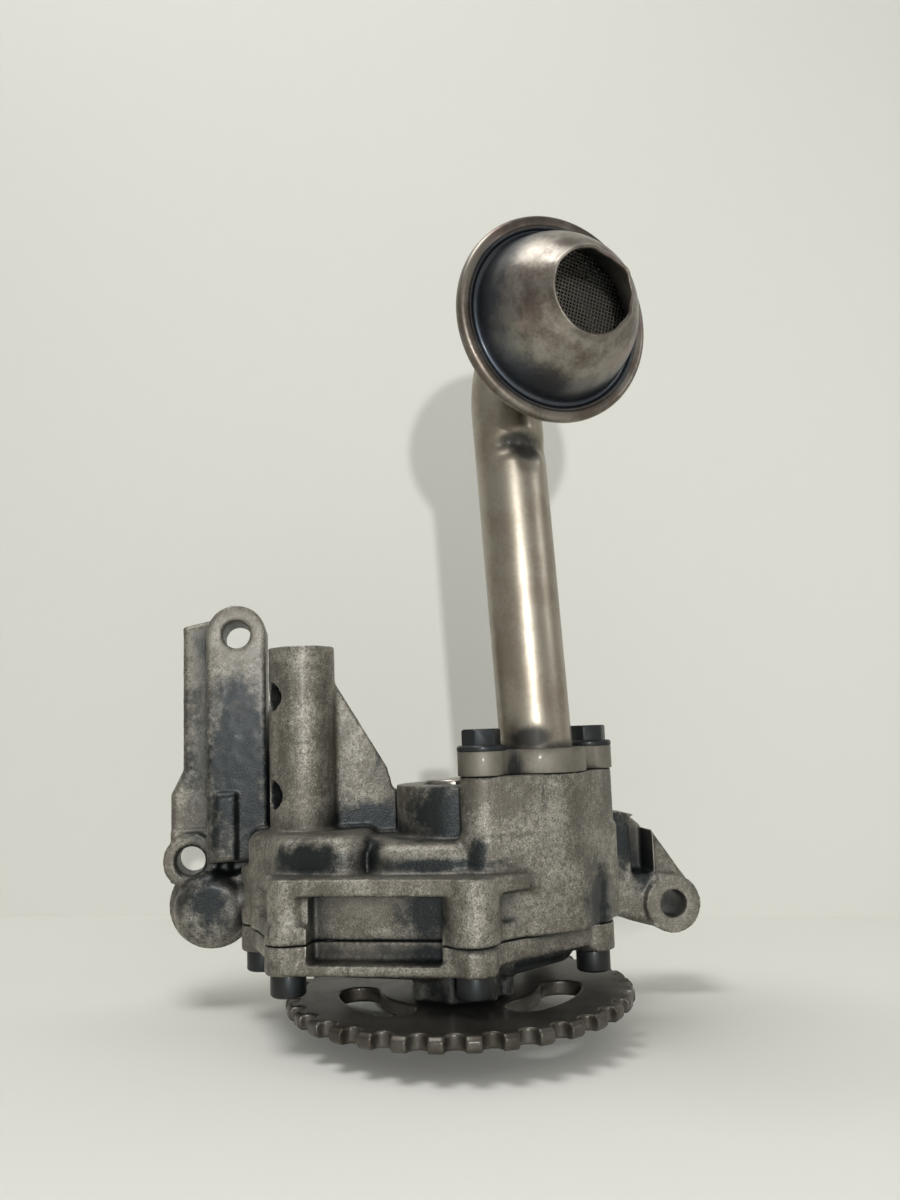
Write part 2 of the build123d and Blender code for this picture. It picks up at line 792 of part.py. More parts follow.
def relief_tube():
    """The round tower of the relief valve, its foot and the triangular web beside it."""
    x, y = relief_point
    tower = round_bar(relief_point, relief_tube_radius, split_z, relief_top_z)
    front, back = y - 2, y + relief_foot_back
    corners = [(x - relief_foot_reach, front), (x - relief_foot_reach, back), (x, back), (x, front)]
    foot = soften(
        column(hull(corners, relief_foot_radius), split_z, upper_deck_z + relief_foot_proud),
        3.0, Axis.Z, True,
    )
    web = Polygon(
        (x, upper_deck_z - web_sink),
        (x, relief_top_z - web_top_drop),
        (x + relief_tube_radius, relief_top_z - web_corner_drop),
        (x + web_knee[0], web_knee[1]),
        (x + web_toe[0], web_toe[1]),
        (x + web_heel[0], web_heel[1]),
        (x + web_heel[0], upper_deck_z - web_sink),
        align=None,
    )
    return tower + foot + slab(web, y - web_thickness / 2, y + web_thickness / 2)


def left_arm():
    """The arm that holds the two left ears: a flat rear plate, a tall rib and the ear bosses."""
    ear_x, ear_z = upper_ear
    low_x, low_z = lower_ear
    plate_outline = Polygon(
        (ear_x - arm_plate_reach, ear_z + arm_plate_rise),
        (ear_x - upper_ear_radius, ear_z + arm_plate_rise + cast_round),
        (ear_x + upper_ear_radius, ear_z + cast_round),
        (ear_x + upper_ear_radius, low_z - lower_ear_radius + cast_round),
        (low_x - lower_ear_radius / 2, low_z - lower_ear_radius + cast_round),
        (low_x - lower_ear_radius + cast_round, low_z),
        (low_x - lower_ear_radius + cast_round, low_z + arm_plate_bow - 4 * cast_round),
        (ear_x - arm_plate_reach, low_z + arm_plate_bow),
        align=None,
    )
    plate = soften(slab(plate_outline, arm_plate_front, block_face_y), cast_round, Axis.Y, False)
    rib_outline = Pos(ear_x, ear_z) * Circle(arm_rib_width / 2)
    rib_outline += Pos(ear_x, (ear_z + low_z) / 2) * Rectangle(arm_rib_width, ear_z - low_z)
    rib = soften(slab(rib_outline, arm_rib_front, block_face_y - 1), cast_round / 2, Axis.Y, False)
    pad_place = Pos(ear_x - arm_pad_shift, low_z + arm_pad_rise)
    pad = slab(pad_place * Rectangle(arm_pad_width, arm_pad_length),
               arm_rib_front - arm_pad_height, arm_plate_front)
    step = soften(
        slab(Pos(low_x + arm_step_shift, low_z + 1) * Rectangle(*arm_step_size),
             lower_ear_front + cast_round, block_face_y),
        cast_round, Axis.Y, False,
    )
    slit = slab(Pos(ear_x, low_z + arm_pad_rise) * Rectangle(arm_slit_width, arm_pad_length),
                arm_rib_front - 1, arm_rib_front + arm_pad_height)
    pocket_height = ear_z - low_z - 4 * upper_ear_radius
    pocket = slab(
        Pos(ear_x, (ear_z + low_z) / 2 + arm_wall) * RectangleRounded(
            arm_rib_width - 2 * arm_wall, pocket_height, 2 * cast_round
        ),
        arm_rib_front + arm_front_wall, block_face_y + 1,
    )
    arm = plate + rib + pad + step - slit - pocket
    arm += cross_bar(upper_ear, upper_ear_radius, upper_ear_front + cast_round, block_face_y)
    arm += cross_bar(lower_ear, lower_ear_radius, lower_ear_front, block_face_y)
    web_z = split_z + arm_web_rise
    web = slab(
        Polygon(
            (ear_x + arm_wall, ear_z - arm_web_drop + arm_wall),
            (ear_x + upper_ear_radius + cast_round, ear_z - arm_web_drop),
            (relief_point[0], ear_z - arm_spine_drop),
            (relief_point[0], web_z),
            (ear_x + arm_wall, web_z),
            align=None,
        ),
        gallery_y - arm_web_thickness / 2, gallery_y + arm_web_thickness / 2,
    )
    spine_length = gallery_y - relief_point[1]
    spine = column(
        Pos(relief_point[0], relief_point[1] + spine_length / 2) * Rectangle(
            arm_spine_width, spine_length
        ),
        web_z, ear_z - arm_spine_drop,
    )
    return arm + web + spine


def outlet_branch():
    """The gallery along the back and the elbow that turns it into the block."""
    x, z = outlet_point
    start_x, start_z = gallery_start
    gallery = link((start_x, gallery_y, start_z), (x, gallery_y, z), gallery_radius)
    gallery += Pos(start_x, gallery_y, start_z) * Sphere(gallery_radius)
    gallery += slab(Pos(*gallery_root_place) * Rectangle(*gallery_root_size),
                    gallery_root_front, gallery_y)
    elbow = soften(
        cross_bar(outlet_point, outlet_elbow_radius, outlet_elbow_front, block_face_y - 1),
        outlet_elbow_round, Axis.Y, False,
    )
    neck_end = (x + outlet_neck_reach[0], z + outlet_neck_reach[1])
    neck = slab(hull([outlet_point, neck_end], outlet_elbow_radius - 3),
                outlet_elbow_front + 3, block_face_y - 8)
    flange = cross_bar(outlet_point, outlet_flange_radius, block_face_y - outlet_flange_depth,
                       block_face_y)
    strap = slab(hull([outlet_point, lower_ear], lower_ear_radius - 1),
                 block_face_y - outlet_flange_depth, block_face_y)
    return gallery + elbow + neck + flange + strap


def right_bracket():
    """The bracket of the right ear: a thick plate with a deep pocket beside its gusset."""
    x, z = right_ear
    low, high = z - bracket_drop, z + bracket_rise
    outline = Polygon(
        (x - bracket_reach, high),
        (x - bracket_shoulder[0], high),
        (x - bracket_shoulder[1], high - bracket_shoulder_drop[0]),
        (x - bracket_shoulder[2], high - bracket_shoulder_drop[1]),
        (x + bracket_slope_reach[0], z + bracket_slope_reach[1]),
        (x + bracket_slope_reach[0], z - bracket_slope_reach[1]),
        (x - 1, z - right_ear_radius + edge_bevel),
        (x - bracket_toe[0], low - cast_round),
        (x - bracket_toe[1], low),
        (x - bracket_reach, low),
        align=None,
    )
    front = right_ear_front + bracket_front_inset
    bracket = soften(slab(outline, front, bracket_back_y), cast_round, Axis.Y, False)
    bracket += cross_bar(right_ear, right_ear_radius, right_ear_front, block_face_y)
    pocket_floor = z + bracket_pocket_floor
    pocket = slab(
        Pos(x - bracket_pocket_inset, pocket_floor + bracket_pocket_height / 2) * Rectangle(
            bracket_pocket_width, bracket_pocket_height
        ),
        front - 4, bracket_back_y - arm_wall,
    )
    gusset_edge = x - bracket_pocket_inset + bracket_pocket_width / 2
    gusset_trim = slab(
        Pos(gusset_edge + edge_bevel, pocket_floor) * Rectangle(
            bracket_reach, bracket_reach, align=(Align.MIN, Align.MIN)
        ),
        front - 4, front + bracket_gusset_inset,
    )
    rear_pocket = slab(
        Pos(x - bracket_rear_pocket_inset, (low + high) / 2) * RectangleRounded(
            bracket_rear_pocket_width, high - low - 2 * bracket_rear_wall, 2 * cast_round
        ),
        front + arm_front_wall, block_face_y,
    )
    flank = soften(
        column(hull(flank_points, bracket_flank_radius), low, high),
        cast_round, Axis.Z, True,
    )
    return (bracket + flank) - pocket - gusset_trim - rear_pocket


def make_pump_housing():
    body = rotor_block() + upper_deck() + suction_block() + relief_tube()
    body += round_bar((0, 0), shaft_boss_radius, deck_z, shaft_boss_z)
    body += left_arm() + outlet_branch() + right_bracket()
    body -= column(hull(screw_points, screw_boss_radius + 1), skirt_z, split_z)

    # Rotor chamber, ports and shaft bore
    body -= column(Pos(*chamber_centre) * Circle(chamber_radius), split_z - 1, chamber_roof)
    body -= port_pockets(chamber_roof - 1, chamber_roof + port_depth)
    body -= column(Circle(bush_radius), upper_bush_z, shaft_boss_z)
    body -= column(Circle(shaft_radius + 0.5), chamber_roof - 1, shaft_boss_z)
    body -= column(Circle(shaft_plug_radius), shaft_boss_z - shaft_plug_height, shaft_boss_z + 1)

    # Suction passage and its bolts
    body -= round_bar(suction_centre, suction_bore_radius, suction_bore_floor, suction_face_z + 1)
    body -= round_bar(suction_centre, pipe_radius + fit_gap,
                      suction_face_z - pipe_spigot - 0.2, suction_face_z + 1)
    body -= round_bar(suction_centre, pipe_radius + fit_gap + seal_width,
                      suction_face_z - seal_height, suction_face_z + 1)
    bolt_floor = suction_face_z + suction_flange_thickness - flange_bolt_length - 1
    for point in suction_lobes:
        body -= round_bar(point, flange_bolt_radius + fit_gap, bolt_floor, suction_face_z + 1)

    # Delivery gallery, outlet and the feed to the relief valve
    start = (gallery_start[0], gallery_y, gallery_start[1])
    elbow = (outlet_point[0], gallery_y, outlet_point[1])
    body -= link(start, elbow, gallery_bore_radius)
    inlet = (gallery_start[0], gallery_inlet_y, gallery_start[1])
    body -= link(inlet, start, gallery_bore_radius - 1)
    body -= cross_bar(outlet_point, outlet_radius, outlet_elbow_front + outlet_wall,
                      block_face_y + 1)
    body -= slab(outlet_seal_ring(), block_face_y - outlet_seal_height, block_face_y + 1)
    x, y = relief_point
    feed_z = gallery_feed_height()
    body -= link((x, gallery_y, feed_z), (x, y, feed_z), relief_feed_radius)
    body -= round_bar(relief_point, relief_feed_radius, feed_z, relief_seat_z + 1)
    body -= round_bar(relief_point, relief_bore_radius, relief_seat_z, relief_top_z + 1)
    body -= round_bar(relief_point, relief_bore_radius + clip_groove_depth + fit_gap,
                      clip_z, clip_z + clip_thickness)
    reach = relief_tube_radius + 1
    for height in relief_hole_heights:
        outer = (x + reach * cos(radians(relief_hole_angle)),
                 y + reach * sin(radians(relief_hole_angle)), height)
        body -= link(outer, (x, y, height), relief_hole_radius)

    # Ear holes
    ears = [(upper_ear, upper_ear_front), (lower_ear, lower_ear_front), (right_ear, right_ear_front)]
    for point, front in ears:
        body -= cross_bar(point, ear_hole_radius, front - 2, block_face_y + 1)
    body -= cross_bar(lower_ear, ear_counterbore_radius, lower_ear_front - 2,
                      lower_ear_front + ear_counterbore_depth)
    return drill_for_fasteners(body)


def gallery_feed_height():
    """Height of the sloping gallery where it passes behind the relief valve."""
    share = (relief_point[0] - gallery_start[0]) / (outlet_point[0] - gallery_start[0])
    return gallery_start[1] + share * (outlet_point[1] - gallery_start[1])


def outlet_seal_ring():
    """Outline of the outlet's seal and of the groove that it fills."""
    inner = outlet_radius + outlet_lip
    return Pos(*outlet_point) * ring(inner + outlet_seal_width, inner)


def make_outlet_seal():
    return slab(outlet_seal_ring(), block_face_y - outlet_seal_height, block_face_y)


parts = {
    "pump_housing": make_pump_housing,
    "pump_cover": make_pump_cover,
    "cover_screws": make_cover_screws,
    "cover_dowels": make_cover_dowels,
    "upper_bush": lambda: make_bush(upper_bush_z, upper_bush_length),
    "lower_bush": lambda: make_bush(nose_z, lower_bush_length),
    "shaft_plug": make_shaft_plug,
    "outlet_seal": make_outlet_seal,
    "suction_flange": make_suction_flange,
    "flange_bolts": make_flange_bolts,
    "suction_pipe": make_suction_pipe,
    "suction_seal": make_suction_seal,
    "strainer_shell": make_strainer_shell,
    "strainer_hood": make_strainer_hood,
    "strainer_screen": make_strainer_screen,
    "relief_piston": make_relief_piston,
    "relief_spring": make_relief_spring,
    "relief_cap": make_relief_cap,
    "relief_cap_seal": make_relief_cap_seal,
    "relief_clip": make_relief_clip,
    "drive_shaft": make_drive_shaft,
    "rotor_key": make_rotor_key,
    "inner_rotor": make_inner_rotor,
    "outer_rotor": make_outer_rotor,
    "drive_sprocket": make_drive_sprocket,
    "sprocket_washer": make_sprocket_washer,
    "sprocket_nut": make_sprocket_nut,
}

os.makedirs("parts", exist_ok=True)
for node, make in parts.items():
    export_step(make(), "parts/" + node + ".step")
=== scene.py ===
"""A used, oily engine oil pump on a pale floor.

Metres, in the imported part's frame: the origin is the middle of the drive sprocket, +Z runs up the
drive shaft and +Y points at the engine block.
"""

import json
import logging
import math
from contextlib import contextmanager
from dataclasses import dataclass
from enum import Enum
from typing import Any, Callable, Iterator, Sequence

import bmesh
import bpy
from mathutils import Matrix, Vector


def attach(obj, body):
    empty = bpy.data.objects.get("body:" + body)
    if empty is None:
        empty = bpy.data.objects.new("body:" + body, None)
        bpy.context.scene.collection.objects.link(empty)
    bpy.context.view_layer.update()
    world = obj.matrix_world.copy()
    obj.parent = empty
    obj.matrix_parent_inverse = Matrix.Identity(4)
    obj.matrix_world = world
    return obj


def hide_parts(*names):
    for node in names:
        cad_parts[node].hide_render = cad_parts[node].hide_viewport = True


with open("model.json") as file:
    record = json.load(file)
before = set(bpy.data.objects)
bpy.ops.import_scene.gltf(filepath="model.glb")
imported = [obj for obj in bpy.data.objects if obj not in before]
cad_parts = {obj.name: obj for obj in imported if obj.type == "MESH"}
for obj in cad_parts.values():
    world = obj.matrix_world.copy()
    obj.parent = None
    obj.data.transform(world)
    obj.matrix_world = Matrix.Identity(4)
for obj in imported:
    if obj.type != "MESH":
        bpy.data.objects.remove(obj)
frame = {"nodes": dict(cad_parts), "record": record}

log = logging.getLogger("oil_pump")

MM = 0.001
TURN = 2 * math.pi
WELD = 0.002 * MM
RAY_SAMPLES = 6
EDGE_COSINES = (0.99, 0.86)
PATCH_FADE = (1.35, 0.50)
Colour = tuple[float, float, float]
Place = tuple[float, float, float]
Range = tuple[float, float]
Spots = tuple[tuple[Place, Place], ...]
STRAINER_CENTRE: Place = (25.7, -46.0, 191.6)
STRAINER_AXIS: Place = (0.2416, -0.9690, -0.0523)
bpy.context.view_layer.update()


class Body(Enum):
    """The rigid bodies that carry a finished piece."""

    HOUSING = "housing"
    DRIVE_LINE = "drive_line"


# Modelling by hand


def deselect_all() -> None:
    """Leave object mode with nothing selected."""
    if bpy.context.object and bpy.context.object.mode != "OBJECT":
        bpy.ops.object.mode_set(mode="OBJECT")
    bpy.ops.object.select_all(action="DESELECT")


def take_up(piece: bpy.types.Object) -> None:
    """Select one piece alone and make it the active one.

    Args:
        piece: The piece to work on.
    """
    deselect_all()
    piece.select_set(True)
    bpy.context.view_layer.objects.active = piece


@contextmanager
def editing(piece: bpy.types.Object, selection: str = "SELECT") -> Iterator[None]:
    """Open a piece in edit mode, and close it afterwards.

    Args:
        piece: The piece to edit.
        selection: SELECT to begin with all of it selected, or DESELECT with nothing.

    Returns:
        A context in which mesh operators act on the piece.
    """
    take_up(piece)
    bpy.ops.object.mode_set(mode="EDIT")
    bpy.ops.mesh.select_mode(type="VERT")
    bpy.ops.mesh.select_all(action=selection)
    yield
    bpy.ops.object.mode_set(mode="OBJECT")


def pick(piece: bpy.types.Object, test: Callable[[Vector], bool]) -> None:
    """Select the vertices of a piece in edit mode by their place.

    Args:
        piece: The piece that is open in edit mode.
        test: Says of a vertex's place whether it is wanted.
    """
    form = bmesh.from_edit_mesh(piece.data)
    for vertex in form.verts:
        vertex.select_set(test(vertex.co))
    form.select_flush(True)
    bmesh.update_edit_mesh(piece.data)


def press(move: Vector, reach: float) -> None:
    """Push what is selected, and pull what lies near along with it.

    Args:
        move: How far and which way, in metres.
        reach: How far the pull goes, in millimetres.
    """
    bpy.ops.transform.translate(value=move, use_proportional_edit=True,
                                proportional_edit_falloff="SMOOTH", proportional_size=reach * MM)


def spoke(angle: float) -> Vector:
    """The level direction at an angle in degrees from X."""
    return Vector((math.cos(math.radians(angle)), math.sin(math.radians(angle)), 0))


def close_up(piece: bpy.types.Object) -> None:
    """Merge a piece's doubles and turn its faces outwards.

    Args:
        piece: The piece to clean.
    """
    with editing(piece):
        bpy.ops.mesh.remove_doubles(threshold=WELD)
        bpy.ops.mesh.normals_make_consistent(inside=False)


def apply_modifier(piece: bpy.types.Object, kind: str, **settings: Any) -> None:
    """Add one modifier and apply it.

    Args:
        piece: The piece that gets it.
        kind: The modifier's type.
        settings: Its settings.
    """
    take_up(piece)
    modifier = piece.modifiers.new(kind.title(), kind)
    for key, value in settings.items():
        setattr(modifier, key, value)
    bpy.ops.object.modifier_apply(modifier=modifier.name)


def freeze() -> None:
    """Move the active piece's place into its mesh."""
    bpy.ops.object.transform_apply(location=True, rotation=True, scale=True)


def axes_matrix(across: Vector, up: Vector, out: Vector, origin: Vector) -> Matrix:
    """Place a piece by its own three axes.

    Args:
        across: Where its X points.
        up: Where its Y points.
        out: Where its Z points.
        origin: Where its origin goes, in metres.

    Returns:
        The placing matrix.
    """
    matrix = Matrix((across, up, out)).transposed().to_4x4()
    matrix.translation = origin
    return matrix


def set_in_place(piece: bpy.types.Object, place: Matrix) -> None:
    """Put a piece where it belongs and leave its object at the origin.

    Args:
        piece: A piece modelled at the origin.
        place: Where it goes.
    """
    take_up(piece)
    piece.matrix_world = place
    freeze()


def smooth(piece: bpy.types.Object, angle: float) -> None:
    """Shade a piece smooth, but for its sharp edges.

    Args:
        piece: The piece to shade.
        angle: Edges sharper than this many degrees stay sharp.
    """
    take_up(piece)
    bpy.ops.object.shade_smooth_by_angle(angle=math.radians(angle))


def resurface(piece: bpy.types.Object, grid: float) -> None:
    """Rebuild a piece's skin on an even grid, which softens its edges.

    Args:
        piece: The piece, closed.
        grid: The grid's cell, in metres.
    """
    apply_modifier(piece, "REMESH", mode="VOXEL", voxel_size=grid)
    apply_modifier(piece, "SMOOTH", factor=0.5, iterations=3)


def thin_out(piece: bpy.types.Object, most_triangles: int) -> None:
    """Bring a piece down to a number of triangles and shade it smooth.

    Args:
        piece: The piece, in quads.
        most_triangles: How many triangles it may keep.
    """
    share = most_triangles / (2 * len(piece.data.polygons))
    if share < 1:
        apply_modifier(piece, "DECIMATE", ratio=share)
    smooth(piece, 60)


def lathe(name: str, profile: Sequence[tuple[float, float]], steps: int) -> bpy.types.Object:
    """Turn a chain of points round the Z axis.

    Args:
        name: The new piece's name.
        profile: Radius and height of each point, in metres.
        steps: Faces round the axis.

    Returns:
        The turned piece, at the origin.
    """
    deselect_all()
    bpy.ops.mesh.primitive_plane_add(size=MM)
    piece = bpy.context.object
    piece.name = name
    with editing(piece):
        bpy.ops.mesh.merge(type="CENTER")
        bpy.ops.transform.translate(value=(profile[0][0], 0, profile[0][1]))
        for (radius, height), (next_radius, next_height) in zip(profile, profile[1:]):
            move = (next_radius - radius, 0, next_height - height)
            bpy.ops.mesh.extrude_vertices_move(TRANSFORM_OT_translate={"value": move})
        bpy.ops.mesh.select_all(action="SELECT")
        bpy.ops.mesh.spin(steps=steps, angle=TURN, center=(0, 0, 0), axis=(0, 0, 1))
    close_up(piece)
    return piece


def merged_copy(node: str, name: str) -> bpy.types.Object:
    """Copy a CAD node's mesh and weld its loose triangles together.

    Args:
        node: The CAD node.
        name: The copy's name.

    Returns:
        The welded copy.
    """
    mesh = frame["nodes"][node].data.copy()
    piece = bpy.data.objects.new(name, mesh)
    bpy.context.scene.collection.objects.link(piece)
    mesh.materials.clear()
    take_up(piece)
    if mesh.has_custom_normals:
        bpy.ops.mesh.customdata_custom_splitnormals_clear()
    with editing(piece):
        bpy.ops.mesh.remove_doubles(threshold=WELD)
    return piece


def hand_over(piece: bpy.types.Object, body: Body, nodes: Sequence[str],
              material: bpy.types.Material) -> None:
    """Give a finished piece its material and let it stand for its CAD nodes.

    Args:
        piece: The finished piece.
        body: The body that it rides on.
        nodes: The CAD nodes that it stands for.
        material: Its material.
    """
    piece.data.materials.clear()
    piece.data.materials.append(material)
    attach(piece, body.value)
    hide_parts(*nodes)
    triangles = sum(len(face.vertices) - 2 for face in piece.data.polygons)
    log.info("%s: %d triangles for %s", piece.name, triangles, ", ".join(nodes))


# Materials


class Wire:
    """A socket in a material, so that sums on it add Math nodes."""

    def __init__(self, board: "Board", socket: bpy.types.NodeSocket) -> None:
        """Keep the socket and the material that it belongs to."""
        self.board = board
        self.socket = socket

    def _sum(self, operation: str, *values: Any) -> "Wire":
        """Add one Math node on the given values."""
        return self.board.add("ShaderNodeMath", {"operation": operation},
                              dict(enumerate(values)))

    def __add__(self, other: Any) -> "Wire":
        """Add."""
        return self._sum("ADD", self, other)

    def __radd__(self, other: Any) -> "Wire":
        """Add to a number."""
        return self._sum("ADD", other, self)

    def __sub__(self, other: Any) -> "Wire":
        """Subtract."""
        return self._sum("SUBTRACT", self, other)

    def __rsub__(self, other: Any) -> "Wire":
        """Subtract from a number."""
        return self._sum("SUBTRACT", other, self)

    def __mul__(self, other: Any) -> "Wire":
        """Multiply."""
        return self._sum("MULTIPLY", self, other)

    def __rmul__(self, other: Any) -> "Wire":
        """Multiply a number."""
        return self._sum("MULTIPLY", other, self)

    def greater(self, other: Any) -> "Wire":
        """The larger of two values."""
        return self._sum("MAXIMUM", self, other)

    def rise(self, low: float, high: float) -> "Wire":
        """A smooth step from 0 at one value to 1 at another.

        Args:
            low: The value that gives 0.
            high: The value that gives 1; it may be the smaller one.

        Returns:
            A number from 0 to 1.
        """
        falls = high < low
        step = self.board.add(
            "ShaderNodeMapRange", {"interpolation_type": "SMOOTHSTEP"},
            {0: self, 1: min(low, high), 2: max(low, high), 3: 0.0, 4: 1.0},
        )
        return 1 - step if falls else step


class Board:
    """The node tree of one material."""

    def __init__(self, name: str) -> None:
        """Open a new material with an empty tree."""
        self.material = bpy.data.materials.new(name)
        self.material.use_nodes = True
        self.tree = self.material.node_tree
        self.tree.nodes.clear()

    def add(self, kind: str, settings: dict[str, Any] | None = None,
            inputs: dict[Any, Any] | None = None, output: Any = 0) -> Wire:
        """Add any node.

        Args:
            kind: The node's type.
            settings: Its properties.
            inputs: Values or wires for its sockets, by number or name.
            output: Which output to give back.

        Returns:
            The chosen output.
        """
        node = self.tree.nodes.new(kind)
        for key, value in (settings or {}).items():
            setattr(node, key, value)
        for key, value in (inputs or {}).items():
            if isinstance(value, Wire):
                self.tree.links.new(value.socket, node.inputs[key])
            else:
                node.inputs[key].default_value = value
        return Wire(self, node.outputs[output])

    def vector(self, operation: str, *values: Any, output: Any = 0) -> Wire:
        """Add one Vector Math node.

        Args:
            operation: What it does.
            values: The vectors or wires that it works on.
            output: Which output to give back.

        Returns:
            The chosen output.
        """
        return self.add("ShaderNodeVectorMath", {"operation": operation},
                        dict(enumerate(values)), output)

    def coords(self) -> Wire:
        """Places on the piece, in metres."""
        return self.add("ShaderNodeTexCoord", output="Object")

    def offset(self, centre: Place) -> Wire:
        """Where places on the piece lie from a centre given in millimetres."""
        return self.vector("SUBTRACT", self.coords(), tuple(c * MM for c in centre))

    def length(self, vector: Wire) -> Wire:
        """How long a vector is."""
        return self.vector("LENGTH", vector, output="Value")

    def rounded(self, radius: float) -> Wire:
        """The normal that edges would have with a rounding given in millimetres."""
        return self.add("ShaderNodeBevel", {"samples": RAY_SAMPLES}, {"Radius": radius * MM})

    def stretched(self, stretch: Place) -> Wire:
        """Places scaled along X, Y and Z, for grain that runs one way."""
        return self.vector("MULTIPLY", self.coords(), stretch)

    def noise(self, size: float, detail: float = 3.0, rough: float = 0.55,
              places: Wire | None = None) -> Wire:
        """Cloudy variation from 0 to 1.

        Args:
            size: How large one blotch is, in millimetres.
            detail: How many finer layers it has.
            rough: How strong those are.
            places: Changed places, if not the piece's own.

        Returns:
            The variation.
        """
        return self.add("ShaderNodeTexNoise", None, {
            "Vector": places or self.coords(), "Scale": 1 / (size * MM),
            "Detail": detail, "Roughness": rough,
        })

    def crevice(self, reach: float) -> Wire:
        """1 where surfaces close in on each other and 0 in the open.

        Args:
            reach: How far it looks, in millimetres.

        Returns:
            The closeness.
        """
        open_share = self.add("ShaderNodeAmbientOcclusion", {"samples": RAY_SAMPLES},
                              {"Distance": reach * MM}, "AO")
        return 1 - open_share

    def edge_nearness(self, radius: float) -> Wire:
        """1 on edges and 0 on flat ground.

        Args:
            radius: How wide an edge counts, in millimetres.

        Returns:
            The nearness to an edge.
        """
        flat = self.add("ShaderNodeNewGeometry", output="Normal")
        across = self.vector("DOT_PRODUCT", self.rounded(radius), flat, output="Value")
        return across.rise(*EDGE_COSINES)

    def patch(self, centre: Place, reach: Place, ragged: float) -> Wire:
        """1 inside a blot at a place of the object and 0 outside it.

        Args:
            centre: The blot's middle, in millimetres.
            reach: Its half sizes, in millimetres.
            ragged: How uneven its edge is.

        Returns:
            The blot.
        """
        scaled = self.vector("DIVIDE", self.offset(centre), tuple(r * MM for r in reach))
        uneven = ragged * (self.noise(6.0, 5.0, 0.65) - 0.5)
        return (self.length(scaled) + uneven).rise(*PATCH_FADE)

    def blend(self, first: Any, second: Any, share: Any) -> Wire:
        """Mix two colours.

        Args:
            first: The colour at share 0.
            second: The colour at share 1.
            share: How much of the second, from 0 to 1.

        Returns:
            The mixed colour.
        """
        settings = {"data_type": "RGBA", "clamp_factor": True}
        inputs = {0: share, 6: self._rgba(first), 7: self._rgba(second)}
        return self.add("ShaderNodeMix", settings, inputs, 2)

    def _rgba(self, colour: Any) -> Any:
        """A colour with its alpha, or a wire as it is."""
        return colour if isinstance(colour, Wire) else (*colour, 1)

    def bump(self, height: Wire, depth: float, normal: Wire | None = None) -> Wire:
        """Relief that is only shaded.

        Args:
            height: The relief from 0 to 1.
            depth: Its depth at 1, in millimetres.
            normal: An earlier normal to add it to.

        Returns:
            The normal.
        """
        inputs = {"Height": height, "Distance": depth * MM}
        if normal is not None:
            inputs["Normal"] = normal
        return self.add("ShaderNodeBump", None, inputs)

    def finish(self, base: Any, roughness: Any, metallic: Any, normal: Wire | None = None,
               coat: float = 0.0, coat_roughness: float = 0.2) -> bpy.types.Material:
        """Close the material with its surface shader.

        Args:
            base: Its base colour.
            roughness: Its roughness.
            metallic: How metallic it is.
            normal: Its normal, if it has relief.
            coat: The weight of an oil film on top.
            coat_roughness: The film's roughness.

        Returns:
            The material.
        """
        inputs = {"Base Color": self._rgba(base), "Roughness": roughness,
                  "Metallic": metallic, "Coat Weight": coat, "Coat Roughness": coat_roughness}
        if normal is not None:
            inputs["Normal"] = normal
        surface = self.add("ShaderNodeBsdfPrincipled", None, inputs)
        self.add_output(surface)
        return self.material

    def add_output(self, surface: Wire) -> None:
        """Show a shader as the material's surface."""
        output = self.tree.nodes.new("ShaderNodeOutputMaterial")
        self.tree.links.new(surface.socket, output.inputs["Surface"])


